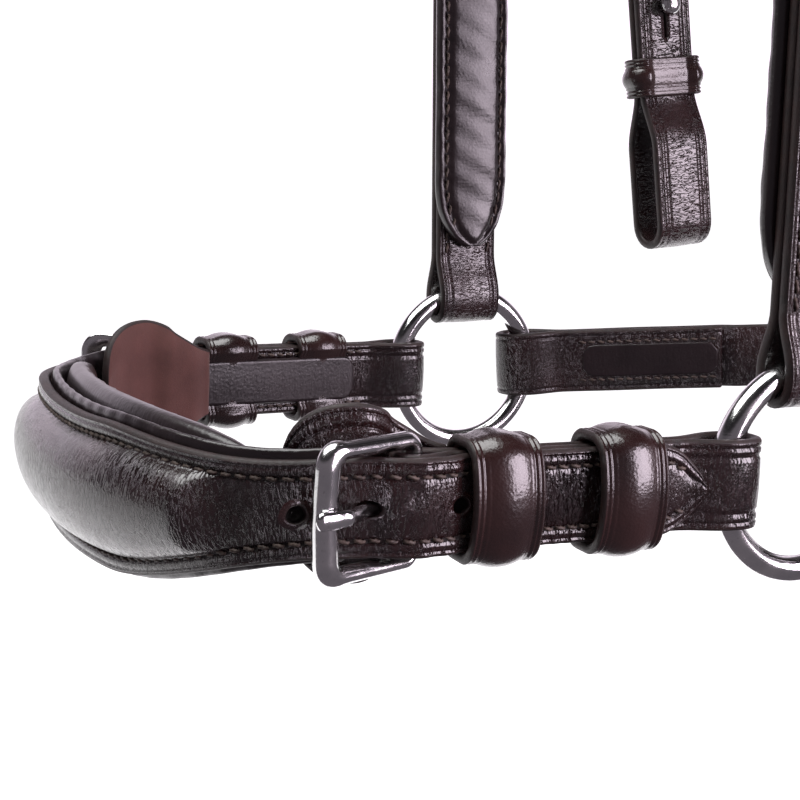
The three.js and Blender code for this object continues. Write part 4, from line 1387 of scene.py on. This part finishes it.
def lead_ring_tab():
    """A tab folded round the chin strap, with the lead ring in its lower eye."""
    middle = Line(CHIN_MIDDLE, (0, 0, 1), (0, -1, 0))
    top, side = STRAP_HALF + 0.5 + LEATHER / 2, LEATHER / 2 + 1.0 + LEATHER / 2
    eye_at = LEAD_RING[2] + RING_RADIUS - CHIN_MIDDLE[2]
    eye = 4.0 + LEATHER / 2
    turn = np.linspace(0, math.pi, 16)
    over = np.stack([top - side + side * np.sin(turn), side * np.cos(turn)], axis=1)
    under = np.stack([eye_at - eye * np.sin(turn), -eye * np.cos(turn)], axis=1)
    down = flank((over[-1][0], -side), (-8.5, -side), 9)
    close = flank((-8.5, -side), (eye_at, -eye), 8)
    close_back = (close * (1, -1))[::-1]
    down_back = (down * (1, -1))[::-1]
    path = np.concatenate([over, down[1:], close[1:], under[1:], close_back[1:], down_back[1:-1]])
    out = np.stack([path[:, 0], path[:, 1]], axis=1)[::-1]
    shape = ribbon(middle.at(out[:, 0], out[:, 1]), middle.w, 8.0,
                   centred(strap_section(creases=(CREASE_INSET,))), closed=True, crackle=0.2)
    build("lead_ring_tab", shape, STRAP_SKIN, "chin_strap", "lead_ring_tab")


# ---------------------------------------------------------------- crown
SPLIT = 1.02                      # angle on the arch where the crown splits into billets
BILLET_LINES = ((cheek_line, CHEEK_HEEL), (bit_line, BIT_HEEL), (throat_line, THROAT_HEEL))


def crown_billet(line, heel_at, place):
    """One billet of three, from the split in the crown down through its buckle to a pointed end."""
    foot_at = (CROWN_FOOT - line.start[2]) / line.a[2]
    offset = line.at(foot_at)[0] - CROWN_MIDDLE
    angle = np.linspace(SPLIT - 0.12, math.pi / 2, 26)[::-1]
    t = smooth(SPLIT - 0.12, math.pi / 2, angle)
    third = 2 * CROWN_HALF / 3
    middle = mix(place * third, offset, t)
    half = mix(third / 2 - 0.25, STRAP_HALF, smooth(SPLIT, SPLIT + 0.3, angle))
    arch, _, across, _ = arch_frames(angle, middle, 0.1)
    tip = heel_at - 44
    s = spaced(tip, foot_at - 2, 1.2)
    low = line.at(s, BILLET_INNER + heel_lift(s - heel_at))
    points = np.concatenate([low, arch])
    wide = np.concatenate([np.broadcast_to(line.w, low.shape), -across])
    if np.dot(line.w, -across[0]) < 0:
        wide = np.concatenate([np.broadcast_to(line.w, low.shape), across])
    halves = np.concatenate([STRAP_HALF * pointed(s - tip), half])
    return ribbon(points, unit(wide), halves, strap_section(creases=(1.3,)), crackle=0.2)


def crown():
    angle = np.linspace(-SPLIT, SPLIT, 130)
    points, _, wide, _ = arch_frames(angle)
    shape = ribbon(points, wide, CROWN_HALF, strap_section(thickness=3.0, creases=(1.6, 2.8), columns=15),
                   crackle=0.15)
    holes = []
    trim = Shape()
    for place, (line, heel_at) in zip((-1, 0, 1), BILLET_LINES):
        billet = crown_billet(line, heel_at, place)
        shape.joined(billet, billet.mirrored())
        for step in (-2, -1, 1):
            at = heel_at + USED_HOLE + step * HOLE_PITCH
            out = BILLET_OUTER + float(heel_lift(at - heel_at))
            holes.append(punch(line, at, stretch=1.15))
            lip = hole_lip(line, at, out)
            trim.joined(lip, lip.mirrored())
        holes.append(punch(line, heel_at + USED_HOLE + 1.9, radius=1.8, stretch=1.5))
    obj = build("crownpiece", shape, BILLET_SKIN, "headpiece", "crownpiece")
    cut_holes(obj, holes + [hole.mirrored() for hole in holes])

    def skin(angles, side):
        p, a, _, o = arch_frames(angles, side * (CROWN_HALF - 5), 2.85)
        return p, a, o

    around = 0.5 * (CROWN_RISE + arch_reach)
    trim.joined(stitch_rows(skin, -0.95, 0.95, (1, -1), COARSE_STITCH / around))
    build("crown_stitching", trim, TRIM, "headpiece")

    angle = np.linspace(-1.0, 1.0, 120)
    points, _, wide, _ = arch_frames(angle, 0.0, -0.1)
    lining = ribbon(points, wide, CROWN_HALF + 2, Section(
        [(share, 0, height - 4.2, 0, 0) for share, height in padded_outline(4.0)], 0.0), phase=1.9)
    obj = build("crown_lining", lining, SOFT_SKIN, "headpiece", "crown_lining")


def padded_outline(thickness, points=36):
    """A padded roll's outline as shares of the half width and heights, flat side up."""
    outline = []
    for turn in np.linspace(0, 2 * math.pi, points, endpoint=False):
        share = -math.copysign(abs(math.cos(turn)) ** 0.5, math.cos(turn))
        rise = math.copysign(abs(math.sin(turn)) ** 0.75, math.sin(turn))
        outline.append((share, thickness / 2 * (1 + rise)))
    return outline


# ---------------------------------------------------------------- stage
CAMERA_YAW = math.radians(26.42)
BACKDROP_YAW = math.radians(24)


def area_light(name, place, target, size, power, colour=(1, 1, 1)):
    light = bpy.data.lights.new(name, "AREA")
    light.shape = "RECTANGLE"
    light.size, light.size_y = size
    light.energy = power
    light.color = colour
    obj = bpy.data.objects.new(name, light)
    obj.location = place
    obj.rotation_euler = (Vector(target) - Vector(place)).to_track_quat("-Z", "Y").to_euler()
    bpy.context.scene.collection.objects.link(obj)


def stage():
    floor_material = Nodes("floor")
    speck = floor_material.noise(floor_material.coords("Object"), 60, 2)
    floor_material.link(floor_material.blend(speck, (0.86, 0.86, 0.87), (0.90, 0.90, 0.90)),
                        floor_material.shader.inputs["Base Color"])
    floor_material.set(floor_material.shader, Roughness=0.9, Emission_Color=(1, 1, 1, 1),
                       Emission_Strength=0.95)
    bpy.ops.mesh.primitive_plane_add(size=30, location=(-3, 15.1, -0.85))
    floor = bpy.context.object
    floor.name = "floor"
    floor.data.materials.append(floor_material.material)

    middle = (-0.05, 0.0, -0.40)
    area_light("overhead", (-0.35, 0.10, 0.70), middle, (0.9, 1.1), 20)
    area_light("key", (0.82, -1.15, -0.08), middle, (1.0, 1.0), 34, (1, 0.86, 0.98))
    studio_world()
    bpy.context.scene.view_settings.view_transform = "Standard"


def studio_world():
    """A white backdrop all along the horizon ahead of the camera, and a dim room behind it."""
    world = bpy.data.worlds.new("studio")
    bpy.context.scene.world = world
    world.use_nodes = True
    tree = world.node_tree
    background = tree.nodes["Background"]
    background.inputs["Color"].default_value = (1, 0.88, 1.0, 1)
    direction = tree.nodes.new("ShaderNodeTexCoord").outputs["Generated"]
    facing = tree.nodes.new("ShaderNodeVectorMath")
    facing.operation = "DOT_PRODUCT"
    facing.inputs[1].default_value = (math.sin(BACKDROP_YAW), math.cos(BACKDROP_YAW), 0)
    tree.links.new(direction, facing.inputs[0])
    ahead = world_ramp(tree, facing.outputs["Value"], 0.45, 0.84, 0.15, 1.35)
    height = tree.nodes.new("ShaderNodeSeparateXYZ")
    tree.links.new(direction, height.inputs[0])
    below = world_ramp(tree, height.outputs["Z"], 0.36, 0.52, 1.0, 0.12)
    both = tree.nodes.new("ShaderNodeMath")
    both.operation = "MULTIPLY"
    tree.links.new(ahead, both.inputs[0])
    tree.links.new(below, both.inputs[1])
    tree.links.new(both.outputs[0], background.inputs["Strength"])


def world_ramp(tree, value, low, high, start, end):
    """A smooth step of the world's brightness."""
    ramp = tree.nodes.new("ShaderNodeMapRange")
    for socket, number in (("From Min", low), ("From Max", high), ("To Min", start), ("To Max", end)):
        ramp.inputs[socket].default_value = number
    ramp.interpolation_type = "SMOOTHSTEP"
    tree.links.new(value, ramp.inputs["Value"])
    return ramp.outputs[0]


def camera():
    yaw, pitch, roll = CAMERA_YAW, math.radians(10.66), math.radians(-0.4)
    data = bpy.data.cameras.new("camera")
    data.lens = 69.1
    data.clip_start = 0.01
    obj = bpy.data.objects.new("camera", data)
    ahead = Vector((math.sin(yaw) * math.cos(pitch), math.cos(yaw) * math.cos(pitch), -math.sin(pitch)))
    turn = ahead.to_track_quat("-Z", "Y").to_matrix() @ Matrix.Rotation(roll, 3, "Z")
    obj.matrix_world = Matrix.Translation(Vector((-0.2630, -0.3407, -0.3457))) @ turn.to_4x4()
    bpy.context.scene.collection.objects.link(obj)
    bpy.context.scene.camera = obj


# ---------------------------------------------------------------- everything in place
BILLET_SKIN = [grain_leather, raw_edge, flesh_leather]
# Material 1 of the trim is painted shade for the insides of awl holes and punched holes.
TRIM = [thread, hole_shade, grain_leather, raw_edge]

noseband_leather()
noseband_lining()
noseband_pad()
side_straps()
buckle_guards()
keeper(side_line, 57, 15.8, BILLET_OUTER, "fixed_keeper", "noseband", "fixed_keeper")
keeper(side_line, 28, 15.8, BILLET_OUTER, "runner_keeper", "SIDE_runner_keeper", "runner_keeper")
cheekpieces()
cheek_linings()
bit_straps()
keeper(bit_line, 54, 12, FOLD_HALF, "bit_keeper", "SIDE_bit_keeper", "bit_keeper")
throat_strap()
chin_strap()
lead_ring_tab()
crown()
rings()
buckle(side_line, NOSE_HEEL, "nose", "noseband")
for place, line, heel_at, keeper_name in (
        ("cheek", cheek_line, CHEEK_HEEL, "cheek_keeper"),
        ("bit", bit_line, BIT_HEEL, "bit_top_keeper"),
        ("throat", throat_line, THROAT_HEEL, "throat_keeper")):
    buckle(line, heel_at, place, "headpiece")
    keeper(line, heel_at - 24, 12, BILLET_OUTER, keeper_name, "headpiece", keeper_name)
stage()
camera()
